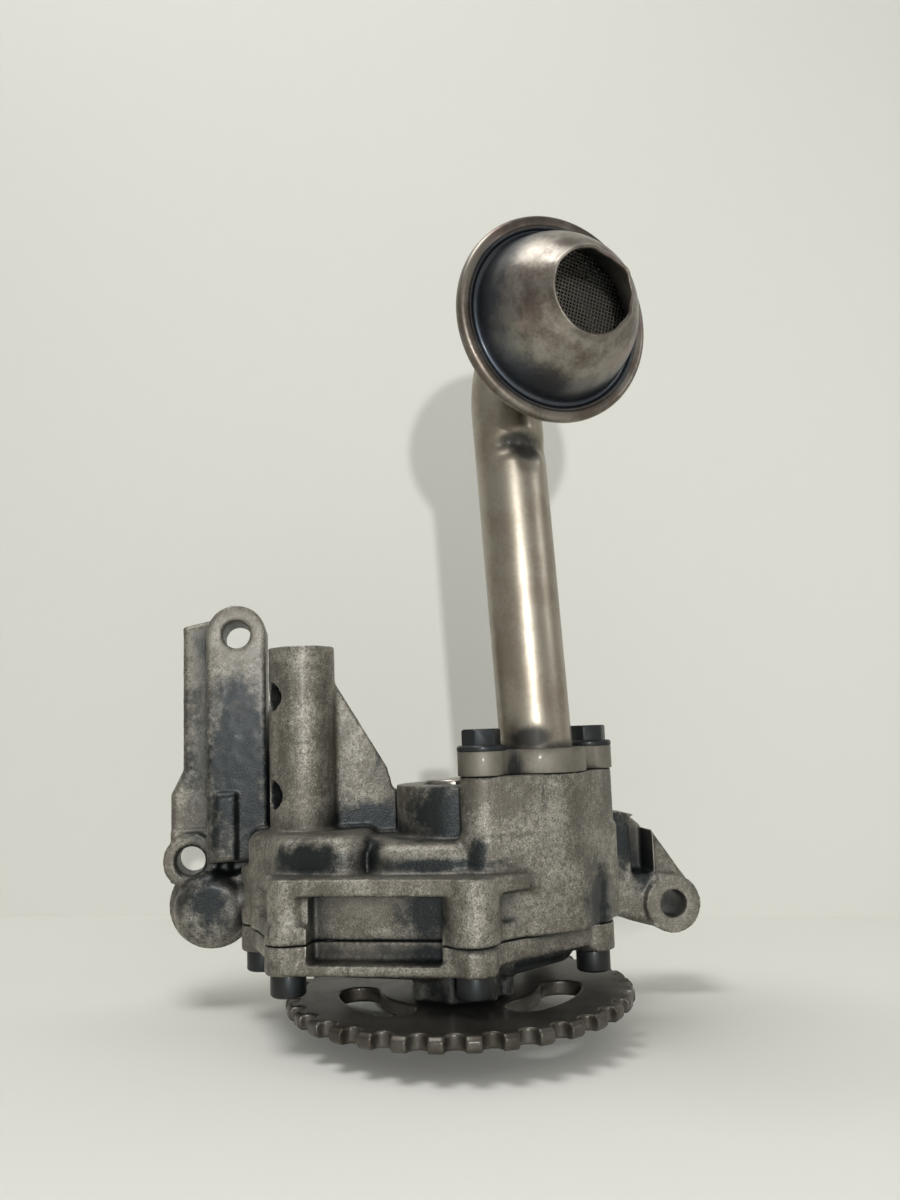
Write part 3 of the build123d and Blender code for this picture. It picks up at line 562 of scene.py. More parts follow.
@dataclass(frozen=True)
class CastAluminium:
    """Sand-cast aluminium, browned by hot oil, black where oil has dried, with painted shade in
    hollows and painted highlights on edges.
    """

    name: str
    metal: Colour = (0.150, 0.138, 0.115)
    pale: Colour = (0.40, 0.38, 0.33)
    wear_and_highlight: Colour = (0.58, 0.56, 0.50)
    soot_and_shade: Colour = (0.009, 0.0135, 0.015)
    grain: float = 0.55
    grain_depth: float = 0.20
    cloud_size: float = 12.0
    fine_size: float = 1.5
    speck_size: float = 0.5
    run_size: float = 4.0
    run_stretch: Place = (1.0, 1.0, 0.20)
    edge_width: float = 0.9
    corner_reach: float = 2.6
    hollow_reach: float = 10.0
    rounding: float = 0.35
    hollow_shade_and_oil: Range = (0.18, 0.50)
    corner_shade_and_oil: Range = (0.16, 0.42)
    run_oil: Range = (0.58, 0.76)
    pale_range: Range = (0.53, 0.78)
    pit_range: Range = (0.46, 0.32)
    glint_range: Range = (0.76, 0.92)
    wear_and_highlight_share: float = 0.40
    dark_ragged: float = 1.6
    bright_ragged: float = 0.9
    dark_spots: Spots = ()
    bright_spots: Spots = ()

    def build(self) -> bpy.types.Material:
        """Make the material."""
        board = Board(self.name)
        clouds = board.noise(self.cloud_size, 5.0, 0.62)
        fine = board.noise(self.fine_size, 4.0, 0.65)
        speck = board.noise(self.speck_size, 3.0, 0.7)
        runs = board.noise(self.run_size, 4.0, 0.6, board.stretched(self.run_stretch))
        edge = board.edge_nearness(self.edge_width)
        corner = board.crevice(self.corner_reach)
        hollow = board.crevice(self.hollow_reach)

        uneven = 0.3 * (speck - 0.5)
        # Oil mask, partly painted shade: it darkens hollows and corners by occlusion, along with
        # oil runs and the listed dark blots.
        oil = (hollow + 1.2 * (clouds - 0.5) + uneven).rise(*self.hollow_shade_and_oil)
        oil = oil.greater((corner + uneven).rise(*self.corner_shade_and_oil))
        oil = oil.greater((runs + 0.5 * (fine - 0.5)).rise(*self.run_oil) * 0.8)
        for centre, reach in self.dark_spots:
            oil = oil.greater(board.patch(centre, reach, self.dark_ragged))
        # Lighter edges: wear, and a painted highlight along the edges.
        bare_and_highlight = edge * (self.wear_and_highlight_share + 1.5 * speck)
        # Lighter, oil-free blots: machined faces, and one painted highlight.
        for centre, reach in self.bright_spots:
            spot = board.patch(centre, reach, self.bright_ragged)
            bare_and_highlight = bare_and_highlight.greater(spot * 0.12)
            oil = oil * (1 - 0.85 * spot)

        mottle = (clouds * 0.5 + fine * 0.25 + speck * 0.45).rise(*self.pale_range)
        pits = (speck * 0.8 + fine * 0.2).rise(*self.pit_range)
        glints = (speck + 0.3 * fine).rise(*self.glint_range)
        ground = board.blend(self.metal, self.pale, mottle)
        ground = board.blend(ground, self.soot_and_shade, pits * 0.55)
        ground = board.blend(ground, self.wear_and_highlight, bare_and_highlight)
        film = board.blend(self.soot_and_shade, self.metal, glints * 0.5)
        base = board.blend(ground, film, oil * (0.98 - 0.60 * edge))
        roughness = 0.50 + 0.14 * fine - 0.14 * oil - 0.14 * edge
        metallic = 0.88 - 0.28 * oil
        relief = 0.75 * board.noise(self.grain, 2.0, 0.6) + 0.25 * board.noise(1.7, 2.0, 0.5)
        normal = board.bump(relief, self.grain_depth, board.rounded(self.rounding))
        return board.finish(base, roughness, metallic, normal, coat=0.12, coat_roughness=0.25)


@dataclass(frozen=True)
class OiledSteel:
    """Bare steel with a brown tint, fine draw lines and a thin film of oil."""

    name: str
    metal: Colour = (0.34, 0.315, 0.27)
    tint: Colour = (0.17, 0.140, 0.105)
    soot_and_shade: Colour = (0.014, 0.015, 0.015)
    roughness: float = 0.28
    lines: Place = (1.0, 1.0, 0.06)
    line_depth: float = 0.012
    tint_share: float = 0.5
    crevice_reach: float = 5.0
    metallic: float = 1.0
    coat: float = 0.1
    cloud_size: float = 14.0
    fine_size: float = 1.2
    line_size: float = 0.5
    edge_width: float = 0.4
    rounding: float = 0.25
    tint_range: Range = (0.38, 0.66)
    grime_and_shade_range: Range = (0.28, 0.70)
    dark_ragged: float = 0.8
    dark_spots: Spots = ()

    def build(self) -> bpy.types.Material:
        """Make the material."""
        board = Board(self.name)
        clouds = board.noise(self.cloud_size, 4.0, 0.6)
        fine = board.noise(self.fine_size, 3.0, 0.6)
        drawn = board.noise(self.line_size, 3.0, 0.7, board.stretched(self.lines))
        edge = board.edge_nearness(self.edge_width)
        crevice = board.crevice(self.crevice_reach)

        tinted = (clouds + 0.3 * (fine - 0.5)).rise(*self.tint_range) * self.tint_share
        # Painted shade: the steel darkens towards soot in crevices by occlusion, with cloudy grime
        # and the listed dark blots.
        grime_and_shade = (crevice + 0.3 * (clouds - 0.5)).rise(*self.grime_and_shade_range)
        for centre, reach in self.dark_spots:
            grime_and_shade = grime_and_shade.greater(board.patch(centre, reach, self.dark_ragged))
        ground = board.blend(self.metal, self.tint, tinted)
        ground = board.blend(ground, self.metal, edge * 0.5)
        base = board.blend(ground, self.soot_and_shade, grime_and_shade * 0.92)
        roughness = self.roughness + 0.10 * drawn + 0.08 * clouds + 0.12 * grime_and_shade
        metallic = self.metallic - 0.4 * grime_and_shade
        normal = board.bump(0.7 * drawn + 0.3 * fine, self.line_depth,
                            board.rounded(self.rounding))
        return board.finish(base, roughness, metallic, normal, coat=self.coat,
                            coat_roughness=0.15)


@dataclass(frozen=True)
class HeatedSteel:
    """Pressed steel that welding heat has coloured brown, straw and blue in rings."""

    name: str
    centre: Place
    axis: Place
    metal: Colour = (0.30, 0.275, 0.235)
    brown: Colour = (0.128, 0.106, 0.088)
    blue: Colour = (0.045, 0.060, 0.080)
    violet: Colour = (0.22, 0.130, 0.120)
    soot_and_shade: Colour = (0.012, 0.013, 0.014)
    wear_and_highlight: Colour = (0.46, 0.43, 0.38)
    blue_radius: float = 24.6
    hollow_reach: float = 30.0
    corner_reach: float = 6.0
    cloud_size: float = 13.0
    blot_size: float = 22.0
    fine_size: float = 0.9
    edge_width: float = 0.3
    rounding: float = 0.3
    relief: float = 0.010
    brown_range: Range = (0.36, 0.62)
    violet_range: Range = (0.58, 0.70)
    corner_range: Range = (0.35, 0.85)
    hollow_range: Range = (0.50, 0.80)
    roughness: float = 0.34

    def build(self) -> bpy.types.Material:
        """Make the material."""
        board = Board(self.name)
        clouds = board.noise(self.cloud_size, 4.0, 0.6)
        blots = board.noise(self.blot_size, 3.0, 0.5)
        fine = board.noise(self.fine_size, 3.0, 0.6)
        across = board.vector("CROSS_PRODUCT", board.offset(self.centre), self.axis)
        ring = board.length(across) * (1 / MM) + 3.0 * (clouds - 0.5)
        band = ring.rise(self.blue_radius - 6.5, self.blue_radius - 0.5)
        band = band * ring.rise(self.blue_radius + 2.4, self.blue_radius + 1.0)

        browned = (clouds + 0.2 * (fine - 0.5)).rise(*self.brown_range)
        rim = ring.rise(self.blue_radius + 1.6, self.blue_radius + 2.6)
        ground = board.blend(self.metal, self.brown, browned)
        ground = board.blend(ground, self.violet, blots.rise(*self.violet_range) * 0.5)
        ground = board.blend(ground, self.blue, band * 0.85)
        ground = board.blend(ground, self.brown, rim * 0.3)
        # Painted shade: darker in the hood's corners and deep inside it by occlusion, with cloudy
        # grime.
        corner = board.crevice(self.corner_reach) + 0.3 * (clouds - 0.5)
        hollow = board.crevice(self.hollow_reach)
        grime_and_shade = corner.rise(*self.corner_range).greater(hollow.rise(*self.hollow_range))
        base = board.blend(ground, self.soot_and_shade, grime_and_shade * 0.92)
        # Lighter edges: wear, and a painted highlight on the rims.
        base = board.blend(base, self.wear_and_highlight, board.edge_nearness(self.edge_width) * 0.3)
        roughness = self.roughness + 0.10 * clouds + 0.05 * fine
        normal = board.bump(fine, self.relief, board.rounded(self.rounding))
        return board.finish(base, roughness, 1.0, normal, coat=0.1, coat_roughness=0.12)


@dataclass(frozen=True)
class Rubber:
    """Plain black rubber of the seals."""

    name: str = "seal_rubber"
    black: Colour = (0.022, 0.022, 0.022)
    grain: float = 0.6
    relief: float = 0.02

    def build(self) -> bpy.types.Material:
        """Make the material."""
        board = Board(self.name)
        fine = board.noise(self.grain, 3.0)
        return board.finish(self.black, 0.55 + 0.2 * fine, 0.0, board.bump(fine, self.relief))


@dataclass(frozen=True)
class Backdrop:
    """Pale painted board, unseen from behind."""

    name: str = "pale_board"
    colour: Colour = (0.75, 0.75, 0.705)

    def build(self) -> bpy.types.Material:
        """Make the material."""
        board = Board(self.name)
        surface = board.add("ShaderNodeBsdfDiffuse", None, {"Color": (*self.colour, 1)})
        unseen = board.add("ShaderNodeBsdfTransparent")
        behind = board.add("ShaderNodeNewGeometry", output="Backfacing")
        board.add_output(board.add("ShaderNodeMixShader", None,
                                   {0: behind, 1: surface, 2: unseen}))
        return board.material


@dataclass(frozen=True)
class Finishes:
    """Every finish on the pump, by its slot in the record."""

    housing: CastAluminium = CastAluminium(
        "cast_housing",
        dark_spots=(
            ((-66.0, 26.0, 68.0), (13.0, 9.0, 36.0)), ((-80.0, 33.0, 74.0), (7.0, 9.0, 34.0)),
            ((-38.0, 26.0, 56.0), (11.0, 9.0, 9.0)), ((-44.0, -12.0, 42.5), (16.0, 10.0, 4.8)),
            ((-26.5, -14.0, 44.0), (3.0, 9.0, 6.0)), ((-8.0, -25.0, 41.0), (22.0, 9.0, 2.0)),
            ((2.0, -26.0, 43.0), (3.0, 9.0, 6.0)), ((-12.0, -25.0, 28.0), (8.0, 9.0, 9.0)),
            ((-6.0, -15.0, 54.0), (13.0, 9.0, 9.0)), ((-26.0, 12.0, 52.0), (14.0, 5.0, 6.0)),
            # These blots darken the right bracket and its pocket: painted shade, with oil.
            ((60.0, 27.0, 38.0), (12.0, 9.0, 11.0)), ((68.0, 27.0, 28.0), (5.0, 9.0, 6.0)),
            ((38.0, -14.0, 27.0), (7.0, 12.0, 12.0)), ((-76.0, 32.0, 26.0), (9.0, 6.0, 12.0))),
        bright_spots=(
            ((-66.5, 26.0, 111.0), (12.0, 4.0, 11.0)), ((78.2, 26.0, 17.0), (8.0, 3.0, 8.0)),
            # This blot lightens the front of the recess's left bulge: a painted highlight.
            ((-32.0, -24.0, 29.0), (8.0, 7.0, 3.0))))
    cover: CastAluminium = CastAluminium(
        "cast_cover", grain_depth=0.08,
        dark_spots=(
            ((-2.0, -14.0, 6.0), (17.0, 18.0, 5.0)), ((22.0, -22.0, 11.0), (20.0, 14.0, 4.2)),
            ((-30.0, -18.0, 9.5), (16.0, 12.0, 2.6)), ((-12.0, -26.0, 17.0), (10.0, 7.0, 3.0))))
    blued: OiledSteel = OiledSteel(
        "blued_steel", (0.024, 0.029, 0.031), (0.030, 0.026, 0.022), roughness=0.36,
        metallic=0.7)
    pipe: OiledSteel = OiledSteel(
        "pipe_steel", (0.37, 0.335, 0.275), (0.21, 0.170, 0.125), roughness=0.31,
        # Dark blots: painted shade with grime in the bend's crease and round the pipe's foot.
        dark_spots=(
            ((19.0, -22.0, 75.0), (7.0, 8.0, 4.0)), ((21.0, -24.0, 163.0), (8.5, 7.0, 3.4)),
            ((21.7, -24.0, 160.6), (5.5, 6.0, 4.0)),
            ((23.0, -13.0, 72.0), (14.0, 14.0, 3.0))))
    flange: OiledSteel = OiledSteel(
        "suction_flange", (0.24, 0.225, 0.190), (0.13, 0.115, 0.090), roughness=0.54,
        lines=(1.0, 1.0, 1.0), line_depth=0.06,
        # Dark blots: painted shade in the groove between the flange's lobes and round the pipe's
        # foot.
        dark_spots=(
            ((14.0, -26.0, 67.0), (2.5, 8.0, 6.0)), ((23.0, -13.0, 71.8), (13.0, 13.0, 2.0))))
    strainer: HeatedSteel = HeatedSteel(
        "strainer_steel", STRAINER_CENTRE, STRAINER_AXIS)
    machined: OiledSteel = OiledSteel("machined_steel", (0.42, 0.40, 0.37), roughness=0.22)
    sprocket: OiledSteel = OiledSteel(
        "sprocket_steel", (0.110, 0.103, 0.090), (0.052, 0.042, 0.032), roughness=0.36,
        lines=(1.0, 1.0, 1.0), tint_share=0.8, metallic=0.9, coat=0.25)
    bush: OiledSteel = OiledSteel("bush_bronze", (0.40, 0.27, 0.13), roughness=0.3)
    rubber: Rubber = Rubber()
    wire: OiledSteel = OiledSteel(
        "screen_wire", (0.85, 0.82, 0.74), (0.50, 0.46, 0.38), roughness=0.20,
        lines=(1.0, 1.0, 1.0), tint_share=0.4, crevice_reach=0.4)

    def built(self) -> dict[str, bpy.types.Material]:
        """Make all the materials.

        Returns:
            Each material by its slot's name.
        """
        made = [self.housing, self.cover, self.blued, self.pipe, self.flange, self.strainer,
                self.machined, self.sprocket, self.bush, self.rubber, self.wire]
        return {finish.name: finish.build() for finish in made}


# The pump's sub-assemblies


@dataclass
class Castings:
    """The housing and its cover, with the soft edges and uneven skin of castings."""

    materials: dict[str, bpy.types.Material]
    grid: float = 0.68 * MM
    most_triangles: int = 190_000
    skin_size: float = 2.4 * MM
    skin_depth: float = 0.18 * MM
    joint_z: float = 20.5 * MM
    block_face_y: float = 50.0 * MM
    ears: tuple[tuple[float, float, float], ...] = (
        (-66.5, 111.6, 26.0), (-82.1, 38.4, 36.0), (78.2, 17.0, 26.5))
    ear_reach: float = 10.5
    margin: float = 0.6 * MM

    def build(self) -> None:
        """Model and hand over both castings."""
        for node, slot in (("pump_housing", "cast_housing"), ("pump_cover", "cast_cover")):
            piece = self._cast(node)
            hand_over(piece, Body.HOUSING, [node], self.materials[slot])

    def _cast(self, node: str) -> bpy.types.Object:
        """Give one casting its rounded edges and its skin.

        Args:
            node: The CAD node.

        Returns:
            The casting.
        """
        piece = merged_copy(node, node + "_cast")
        resurface(piece, self.grid)
        self._roughen(piece)
        thin_out(piece, self.most_triangles)
        return piece

    def _roughen(self, piece: bpy.types.Object) -> None:
        """Raise a low uneven skin on all that was left as cast.

        Args:
            piece: The casting.
        """
        group = piece.vertex_groups.new(name="as_cast")
        rough = [v.index for v in piece.data.vertices if not self._is_machined(v.co)]
        group.add(rough, 1.0, "REPLACE")
        clouds = bpy.data.textures.new("casting_skin", "CLOUDS")
        clouds.noise_scale = self.skin_size
        clouds.noise_depth = 2
        apply_modifier(piece, "DISPLACE", texture=clouds, texture_coords="LOCAL",
                       strength=self.skin_depth, mid_level=0.8, vertex_group=group.name)
        piece.vertex_groups.clear()

    def _is_machined(self, place: Vector) -> bool:
        """Whether a cutter has been over this place of the casting."""
        if abs(place.z - self.joint_z) < self.margin:
            return True
        if place.y > self.block_face_y - self.margin:
            return True
        for x, z, front in self.ears:
            near = math.hypot(place.x - x * MM, place.z - z * MM) < self.ear_reach * MM
            if near and place.y < front * MM + self.margin:
                return True
        return False


@dataclass
class Strainer:
    """The hood with its crimped mouth and the woven screen behind it."""

    materials: dict[str, bpy.types.Material]
    centre: Place = STRAINER_CENTRE
    turn: float = 14.0
    dip: float = 3.0
    sheet: float = 1.0
    screen_thickness: float = 0.8
    steps: int = 144
    side: tuple[tuple[float, float], ...] = (
        (28.4, 1.8), (27.3, 1.8), (26.9, 2.3), (26.2, 2.55), (25.5, 2.3), (25.1, 1.8),
        (24.5, 1.8), (23.9, 2.3), (23.5, 3.6), (23.1, 5.6), (22.5, 8.0), (21.5, 10.8),
        (20.1, 13.6), (18.4, 16.2), (16.6, 18.6), (15.1, 20.3), (14.0, 21.5), (13.3, 22.5),
        (12.9, 23.4), (12.5, 23.85), (12.0, 23.7), (11.8, 23.2))
    crimps: tuple[tuple[float, float], ...] = (
        (6.0, 0.8), (34.0, -0.2), (60.0, 0.8), (88.0, 0.4), (124.0, 0.35), (176.0, 0.3),
        (214.0, 0.4), (262.0, 0.3), (300.0, 0.6), (334.0, 0.8), (350.0, -0.3))
    crimp_reach: float = 5.0
    crimp_dip: float = 0.35
    lip_rounding: float = 0.35
    lip_band: float = 0.9
    grip_cosine: float = 0.985
    wire_pitch: float = 1.06
    wire_radius: float = 0.21
    wire_sides: int = 5
    weave_turn: float = -12.0
    screen_radius: float = 26.8

    def place(self) -> Matrix:
        """Where the strainer's own axes stand.

        Returns:
            The placing matrix, in metres.
        """
        turn, dip = math.radians(self.turn), math.radians(self.dip)
        forward = Vector((math.sin(turn) * math.cos(dip), -math.cos(turn) * math.cos(dip),
                          -math.sin(dip)))
        across = Vector((math.cos(turn), math.sin(turn), 0.0))
        up = forward.cross(across)
        return axes_matrix(across, up, forward, Vector(self.centre) * MM)

    def build(self) -> None:
        """Model and hand over the hood and the screen."""
        hand_over(self._hood(), Body.HOUSING, ["strainer_hood"],
                  self.materials["strainer_steel"])
        hand_over(self._screen(), Body.HOUSING, ["strainer_screen"],
                  self.materials["screen_wire"])

    def _hood(self) -> bpy.types.Object:
        """Turn the hood, crimp its mouth and give it its sheet thickness.

        Returns:
            The hood, in its place.
        """
        profile = [(radius * MM, height * MM) for radius, height in self.side]
        hood = lathe("crimped_hood", profile, self.steps)
        self._crimp(hood)
        apply_modifier(hood, "SOLIDIFY", thickness=self.sheet * MM, offset=-1.0,
                       use_rim=True, use_even_offset=True)
        apply_modifier(hood, "BEVEL", width=self.lip_rounding * MM, segments=2,
                       limit_method="ANGLE", angle_limit=math.radians(50))
        apply_modifier(hood, "SUBSURF", levels=1, render_levels=1)
        smooth(hood, 60)
        set_in_place(hood, self.place())
        return hood

    def _crimp(self, hood: bpy.types.Object) -> None:
        """Press the mouth's edge in where the tool's fingers gripped it.

        Args:
            hood: The hood, still at the origin.
        """
        top = max(height for _, height in self.side)
        with editing(hood, "DESELECT"):
            for angle, depth in self.crimps:
                grip = spoke(angle)
                inward = (-grip - Vector((0, 0, self.crimp_dip))) * depth * MM
                pick(hood, lambda co: co.z > (top - self.lip_band) * MM
                     and Vector((co.x, co.y, 0)).normalized().dot(grip) > self.grip_cosine)
                press(inward, self.crimp_reach)

    def _screen(self) -> bpy.types.Object:
        """Weave the wire screen.

        Returns:
            The screen, in its place.
        """
        pitch = self.wire_pitch * MM
        rows = 2 * math.ceil(self.screen_radius / self.wire_pitch / 2) + 2
        warp = self._cloth("woven_screen", pitch, rows, 1)
        weft = self._cloth("weft", pitch, rows, -1)
        take_up(weft)
        bpy.ops.transform.rotate(value=math.pi / 2, orient_axis="Z", center_override=(0, 0, 0))
        freeze()
        take_up(warp)
        weft.select_set(True)
        bpy.ops.object.join()
        with editing(warp, "DESELECT"):
            pick(warp, lambda co: math.hypot(co.x, co.y) > self.screen_radius * MM)
            bpy.ops.mesh.delete(type="VERT")
            bpy.ops.mesh.select_all(action="SELECT")
            bpy.ops.mesh.fill_holes(sides=4)
            bpy.ops.mesh.normals_make_consistent(inside=False)
        smooth(warp, 80)
        turned = Matrix.Rotation(math.radians(self.weave_turn), 4, "Z")
        lifted = Matrix.Translation((0, 0, self.screen_thickness / 2 * MM))
        set_in_place(warp, self.place() @ lifted @ turned)
        return warp

    def _cloth(self, name: str, pitch: float, rows: int, phase: int) -> bpy.types.Object:
        """Lay parallel wires that rise and fall in turn, one way of the weave.

        Args:
            name: The new piece's name.
            pitch: The distance between wires, in metres.
            rows: How many wires on each side of the middle.
            phase: 1 to start over the crossing wire, or -1 to start under it.

        Returns:
            The wires, along X.
        """
        rise = self.wire_radius * MM * phase
        deselect_all()
        bpy.ops.mesh.primitive_circle_add(
            vertices=self.wire_sides, radius=self.wire_radius * MM,
            location=(-rows * pitch, -rows * pitch, rise), rotation=(0, math.pi / 2, 0))
        freeze()
        wires = bpy.context.object
        wires.name = name
        with editing(wires):
            for climb in (-2 * rise, 2 * rise):
                bpy.ops.mesh.extrude_region_move(
                    TRANSFORM_OT_translate={"value": (pitch, 0, climb)})
        apply_modifier(wires, "ARRAY", count=rows, use_relative_offset=False,
                       use_constant_offset=True, constant_offset_displace=(2 * pitch, 0, 0),
                       use_merge_vertices=True, merge_threshold=0.01 * MM)
        with editing(wires):
            bpy.ops.mesh.duplicate_move(TRANSFORM_OT_translate={"value": (pitch, pitch, 0)})
        apply_modifier(wires, "ARRAY", count=rows, use_relative_offset=False,
                       use_constant_offset=True, constant_offset_displace=(0, 2 * pitch, 0))
        return wires


@dataclass
class SuctionPipe:
    """The bent tube, dented on the inside of its bend."""

    materials: dict[str, bpy.types.Material]
    foot: Place = (23.6, -12.6, 71.8)
    end: Place = (22.802, -34.372, 192.220)
    end_direction: Place = STRAINER_AXIS
    radius: float = 10.8
    wall: float = 1.5
    bend_radius: float = 17.5
    end_straight: float = 3.5
    below_foot: float = 6.0
    tuck_in: float = 1.0
    around: int = 64
    rings: int = 80
    bend_steps: int = 24
    grip: float = 1.3
    dents: tuple[tuple[float, float, float, float], ...] = (
        (91.0, 0.0, 1.7, 4.2), (91.0, 28.0, 1.5, 4.2), (91.0, -28.0, 1.5, 4.2),
        (90.6, 52.0, 0.8, 4.0), (90.6, -52.0, 0.8, 4.0),
        (96.5, 0.0, -0.9, 5.0), (86.0, 5.0, 0.5, 4.0))

    def build(self) -> None:
        """Model and hand over the pipe."""
        hand_over(self._pipe(), Body.HOUSING, ["suction_pipe"],
                  self.materials["pipe_steel"])

    def _pipe(self) -> bpy.types.Object:
        """Draw the tube straight, bend it, dent it and set it on its foot.

        Returns:
            The pipe, in its place.
        """
        foot, end = Vector(self.foot), Vector(self.end)
        onward = Vector(self.end_direction).normalized()
        corner = end - onward * (self.bend_radius + self.end_straight)
        along = (corner - foot).normalized()
        toward = (onward - along * onward.dot(along)).normalized()
        angle = along.angle(onward)
        bend_at = (corner - foot).length - self.bend_radius * math.tan(angle / 2)

        deselect_all()
        bpy.ops.mesh.primitive_circle_add(vertices=self.around, radius=self.radius * MM,
                                          location=(0, 0, -self.below_foot * MM))
        pipe = bpy.context.object
        pipe.name = "dented_pipe"
        freeze()
        rise = (bend_at + self.below_foot) / self.rings * MM
        with editing(pipe):
            for _ in range(self.rings):
                bpy.ops.mesh.extrude_region_move(TRANSFORM_OT_translate={"value": (0, 0, rise)})
            bpy.ops.mesh.spin(steps=self.bend_steps, angle=-angle, axis=(0, 1, 0),
                              center=(self.bend_radius * MM, 0, bend_at * MM))
            out = Vector((math.sin(angle), 0, math.cos(angle)))
            out = out * (self.end_straight + self.tuck_in) * MM
            bpy.ops.mesh.extrude_region_move(TRANSFORM_OT_translate={"value": out})
        self._dent(pipe)
        close_up(pipe)
        apply_modifier(pipe, "SOLIDIFY", thickness=self.wall * MM, offset=-1.0)
        smooth(pipe, 50)
        set_in_place(pipe, axes_matrix(toward, along.cross(toward), along, foot * MM))
        return pipe

    def _dent(self, pipe: bpy.types.Object) -> None:
        """Press the wrinkles of the tight bend into the tube's inner side.

        Args:
            pipe: The pipe, still upright at the origin.
        """
        with editing(pipe, "DESELECT"):
            for height, turn, depth, reach in self.dents:
                side = spoke(turn)
                middle = side * self.radius * MM + Vector((0, 0, height * MM))
                pick(pipe, lambda co: (co - middle).length < self.grip * MM)
                press(-side * depth * MM, reach)


@dataclass
class Fasteners:
    """Bolts, screws, nut, washer, plug and flange with their edges broken."""

    materials: dict[str, bpy.types.Material]
    flat_angle: float = 0.5
    edge_angle: float = 40.0
    edges: tuple[tuple[str, str, Body, float], ...] = (
        ("flange_bolts", "blued_steel", Body.HOUSING, 0.30),
        ("cover_screws", "blued_steel", Body.HOUSING, 0.30),
        ("suction_flange", "pipe_steel", Body.HOUSING, 0.35),
        ("shaft_plug", "machined_steel", Body.HOUSING, 0.25),
        ("sprocket_nut", "machined_steel", Body.DRIVE_LINE, 0.25),
        ("sprocket_washer", "machined_steel", Body.DRIVE_LINE, 0.20),
    )

    def build(self) -> None:
        """Model and hand over each piece."""
        for node, slot, body, width in self.edges:
            finish = self.materials.get(node, self.materials[slot])
            hand_over(self._broken(node, width), body, [node], finish)

    def _broken(self, node: str, width: float) -> bpy.types.Object:
        """Copy a node and round its sharp edges.

        Args:
            node: The CAD node.
            width: The rounding's width, in millimetres.

        Returns:
            The rounded copy.
        """
        piece = merged_copy(node, node + "_finished")
        with editing(piece):
            bpy.ops.mesh.dissolve_limited(angle_limit=math.radians(self.flat_angle))
        apply_modifier(piece, "BEVEL", width=width * MM, segments=2, limit_method="ANGLE",
                       angle_limit=math.radians(self.edge_angle), use_clamp_overlap=True)
        smooth(piece, self.edge_angle)
        return piece


@dataclass
class ChainWheel:
    """The sprocket, its teeth rounded by the chain."""

    materials: dict[str, bpy.types.Material]
    grid: float = 0.36 * MM
    most_triangles: int = 150_000

    def build(self) -> None:
        """Model and hand over the sprocket."""
        wheel = merged_copy("drive_sprocket", "worn_sprocket")
        resurface(wheel, self.grid)
        thin_out(wheel, self.most_triangles)
        hand_over(wheel, Body.DRIVE_LINE, ["drive_sprocket"],
                  self.materials["sprocket_steel"])


# Light and camera


@dataclass(frozen=True)
class Lamp:
    """A round lamp, placed to the camera's right, above it and in front of it."""

    name: str
    offset: Place
    size: float
    power: float


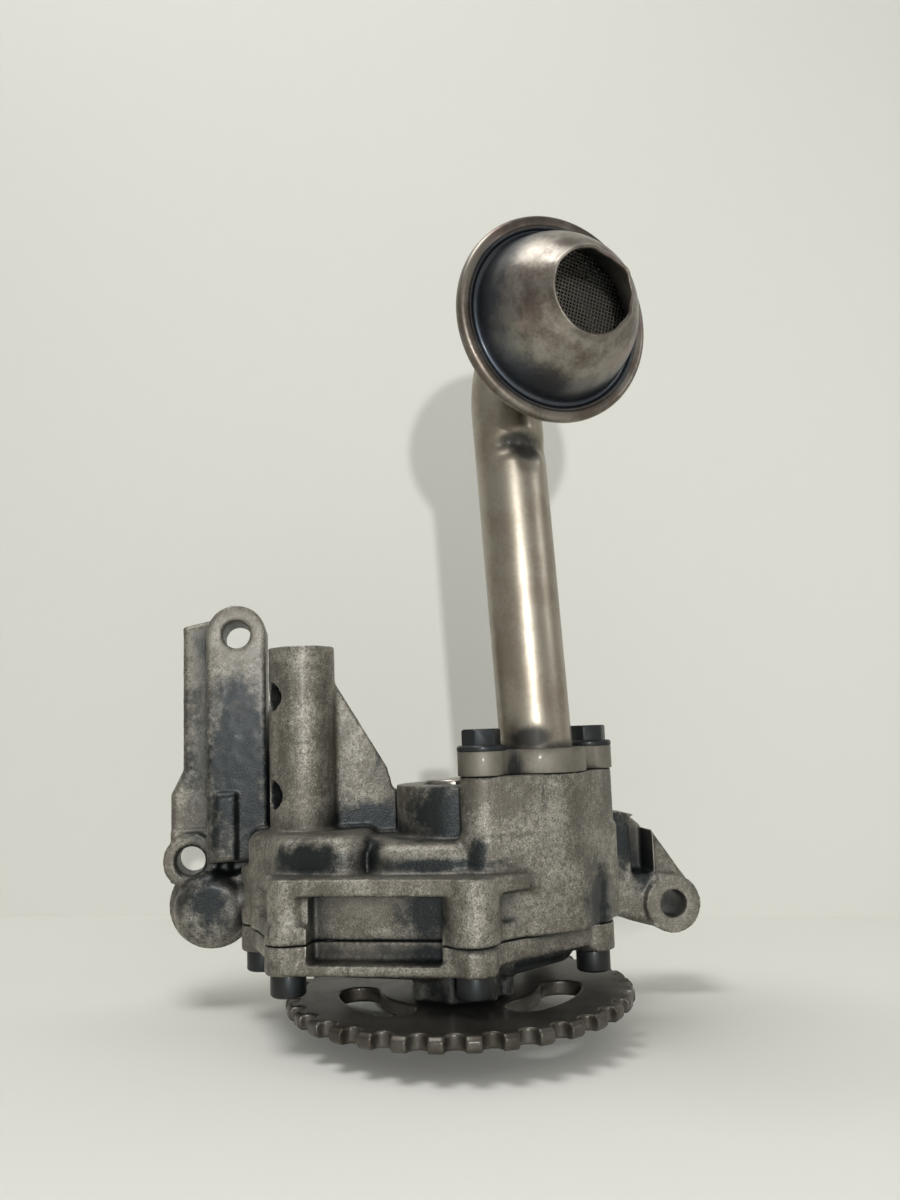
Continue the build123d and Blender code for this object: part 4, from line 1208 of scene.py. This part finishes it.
@dataclass
class Studio:
    """Pale board, soft light and the photograph's camera."""

    eye: Place = (-0.0467, -0.3081, 0.0780)
    heading: float = 8.8
    pitch: float = 7.4
    roll: float = -2.0
    lens: float = 30.0
    wall_distance: float = 0.491
    floor_under_origin: float = -0.0103
    lamps: tuple[Lamp, ...] = (
        Lamp("key", (0.053, 0.056, -0.277), 0.014, 1.70),
        Lamp("side", (0.519, 0.182, 0.159), 0.160, 0.25),
        Lamp("top", (-0.250, 1.000, 0.120), 0.500, 4.70),
    )
    fill: float = 0.38
    fill_colour: Colour = (1.0, 0.99, 0.96)
    sensor: float = 36.0
    nearest: float = 0.01
    board_size: float = 6.0
    aim: Place = (0.0, 0.0, 0.09)

    def axes(self) -> tuple[Vector, Vector, Vector]:
        """The camera's right, up and forward directions."""
        heading = math.radians(self.heading)
        pitch, roll = math.radians(self.pitch), math.radians(self.roll)
        right = Vector((math.cos(heading), -math.sin(heading), 0))
        level = Vector((math.sin(heading), math.cos(heading), 0))
        up = -math.sin(pitch) * level + math.cos(pitch) * Vector((0, 0, 1))
        forward = math.cos(pitch) * level + math.sin(pitch) * Vector((0, 0, 1))
        rolled_right = math.cos(roll) * right + math.sin(roll) * up
        rolled_up = -math.sin(roll) * right + math.cos(roll) * up
        return rolled_right, rolled_up, forward

    def build(self) -> None:
        """Set up camera, boards, lamps and world."""
        right, up, forward = self.axes()
        camera = bpy.data.objects.new("camera", bpy.data.cameras.new("camera"))
        bpy.context.scene.collection.objects.link(camera)
        camera.data.sensor_fit = "VERTICAL"
        camera.data.sensor_height = self.sensor
        camera.data.lens = self.lens
        camera.data.clip_start = self.nearest
        camera.matrix_world = axes_matrix(right, up, -forward, Vector(self.eye))
        bpy.context.scene.camera = camera

        pitch = math.radians(self.pitch)
        stage_up = math.sin(pitch) * forward + math.cos(pitch) * up
        stage_forward = math.cos(pitch) * forward - math.sin(pitch) * up
        self._add_boards(right, stage_up, stage_forward)
        self._add_lamps(right, stage_up, stage_forward)

    def _add_boards(self, right: Vector, up: Vector, forward: Vector) -> None:
        """Lay the floor and stand the wall behind the pump."""
        material = Backdrop().build()
        half = self.board_size / 2
        foot = Vector((0, 0, self.floor_under_origin))
        to_wall = self.wall_distance - (foot - Vector(self.eye)).dot(forward)
        for name, normal, middle in (
            ("floor", up, foot + forward * to_wall - forward * half),
            ("wall", -forward, foot + forward * to_wall + up * half),
        ):
            deselect_all()
            bpy.ops.mesh.primitive_plane_add(size=self.board_size)
            board = bpy.context.object
            board.name = name
            set_in_place(board, axes_matrix(right, normal.cross(right), normal, middle))
            board.data.materials.append(material)

    def _add_lamps(self, right: Vector, up: Vector, forward: Vector) -> None:
        """Hang the lamps round the camera and light the room evenly."""
        target = Vector(self.aim)
        for lamp in self.lamps:
            across, lift, ahead = lamp.offset
            light = bpy.data.objects.new(lamp.name, bpy.data.lights.new(lamp.name, "AREA"))
            bpy.context.scene.collection.objects.link(light)
            light.data.shape = "DISK"
            light.data.size = lamp.size
            light.data.energy = lamp.power
            light.location = Vector(self.eye) + right * across + up * lift + forward * ahead
            light.rotation_mode = "QUATERNION"
            light.rotation_quaternion = (target - light.location).to_track_quat("-Z", "Y")
        world = bpy.data.worlds.new("room")
        bpy.context.scene.world = world
        world.use_nodes = True
        background = world.node_tree.nodes["Background"]
        background.inputs["Color"].default_value = (*self.fill_colour, 1)
        background.inputs["Strength"].default_value = self.fill


def dress_frame(materials: dict[str, bpy.types.Material]) -> None:
    """Give every CAD node that is still shown the material of its slot.

    Args:
        materials: Each material by its slot's name.
    """
    for subpart in frame["record"]["subparts"]:
        node = frame["nodes"][subpart["node"]]
        if node.hide_render:
            continue
        node.data.materials.clear()
        node.data.materials.append(materials[subpart["material_slot"]])
        log.info("%s keeps its CAD mesh", subpart["node"])


def main() -> None:
    """Build the pump's sub-assemblies in order, then the studio round them."""
    logging.basicConfig(level=logging.INFO, format="%(name)s: %(message)s")
    bpy.context.scene.view_settings.view_transform = "Standard"
    materials = Finishes().built()
    Castings(materials).build()
    Strainer(materials).build()
    SuctionPipe(materials).build()
    Fasteners(materials).build()
    ChainWheel(materials).build()
    dress_frame(materials)
    Studio().build()


if __name__ == "__main__":
    main()
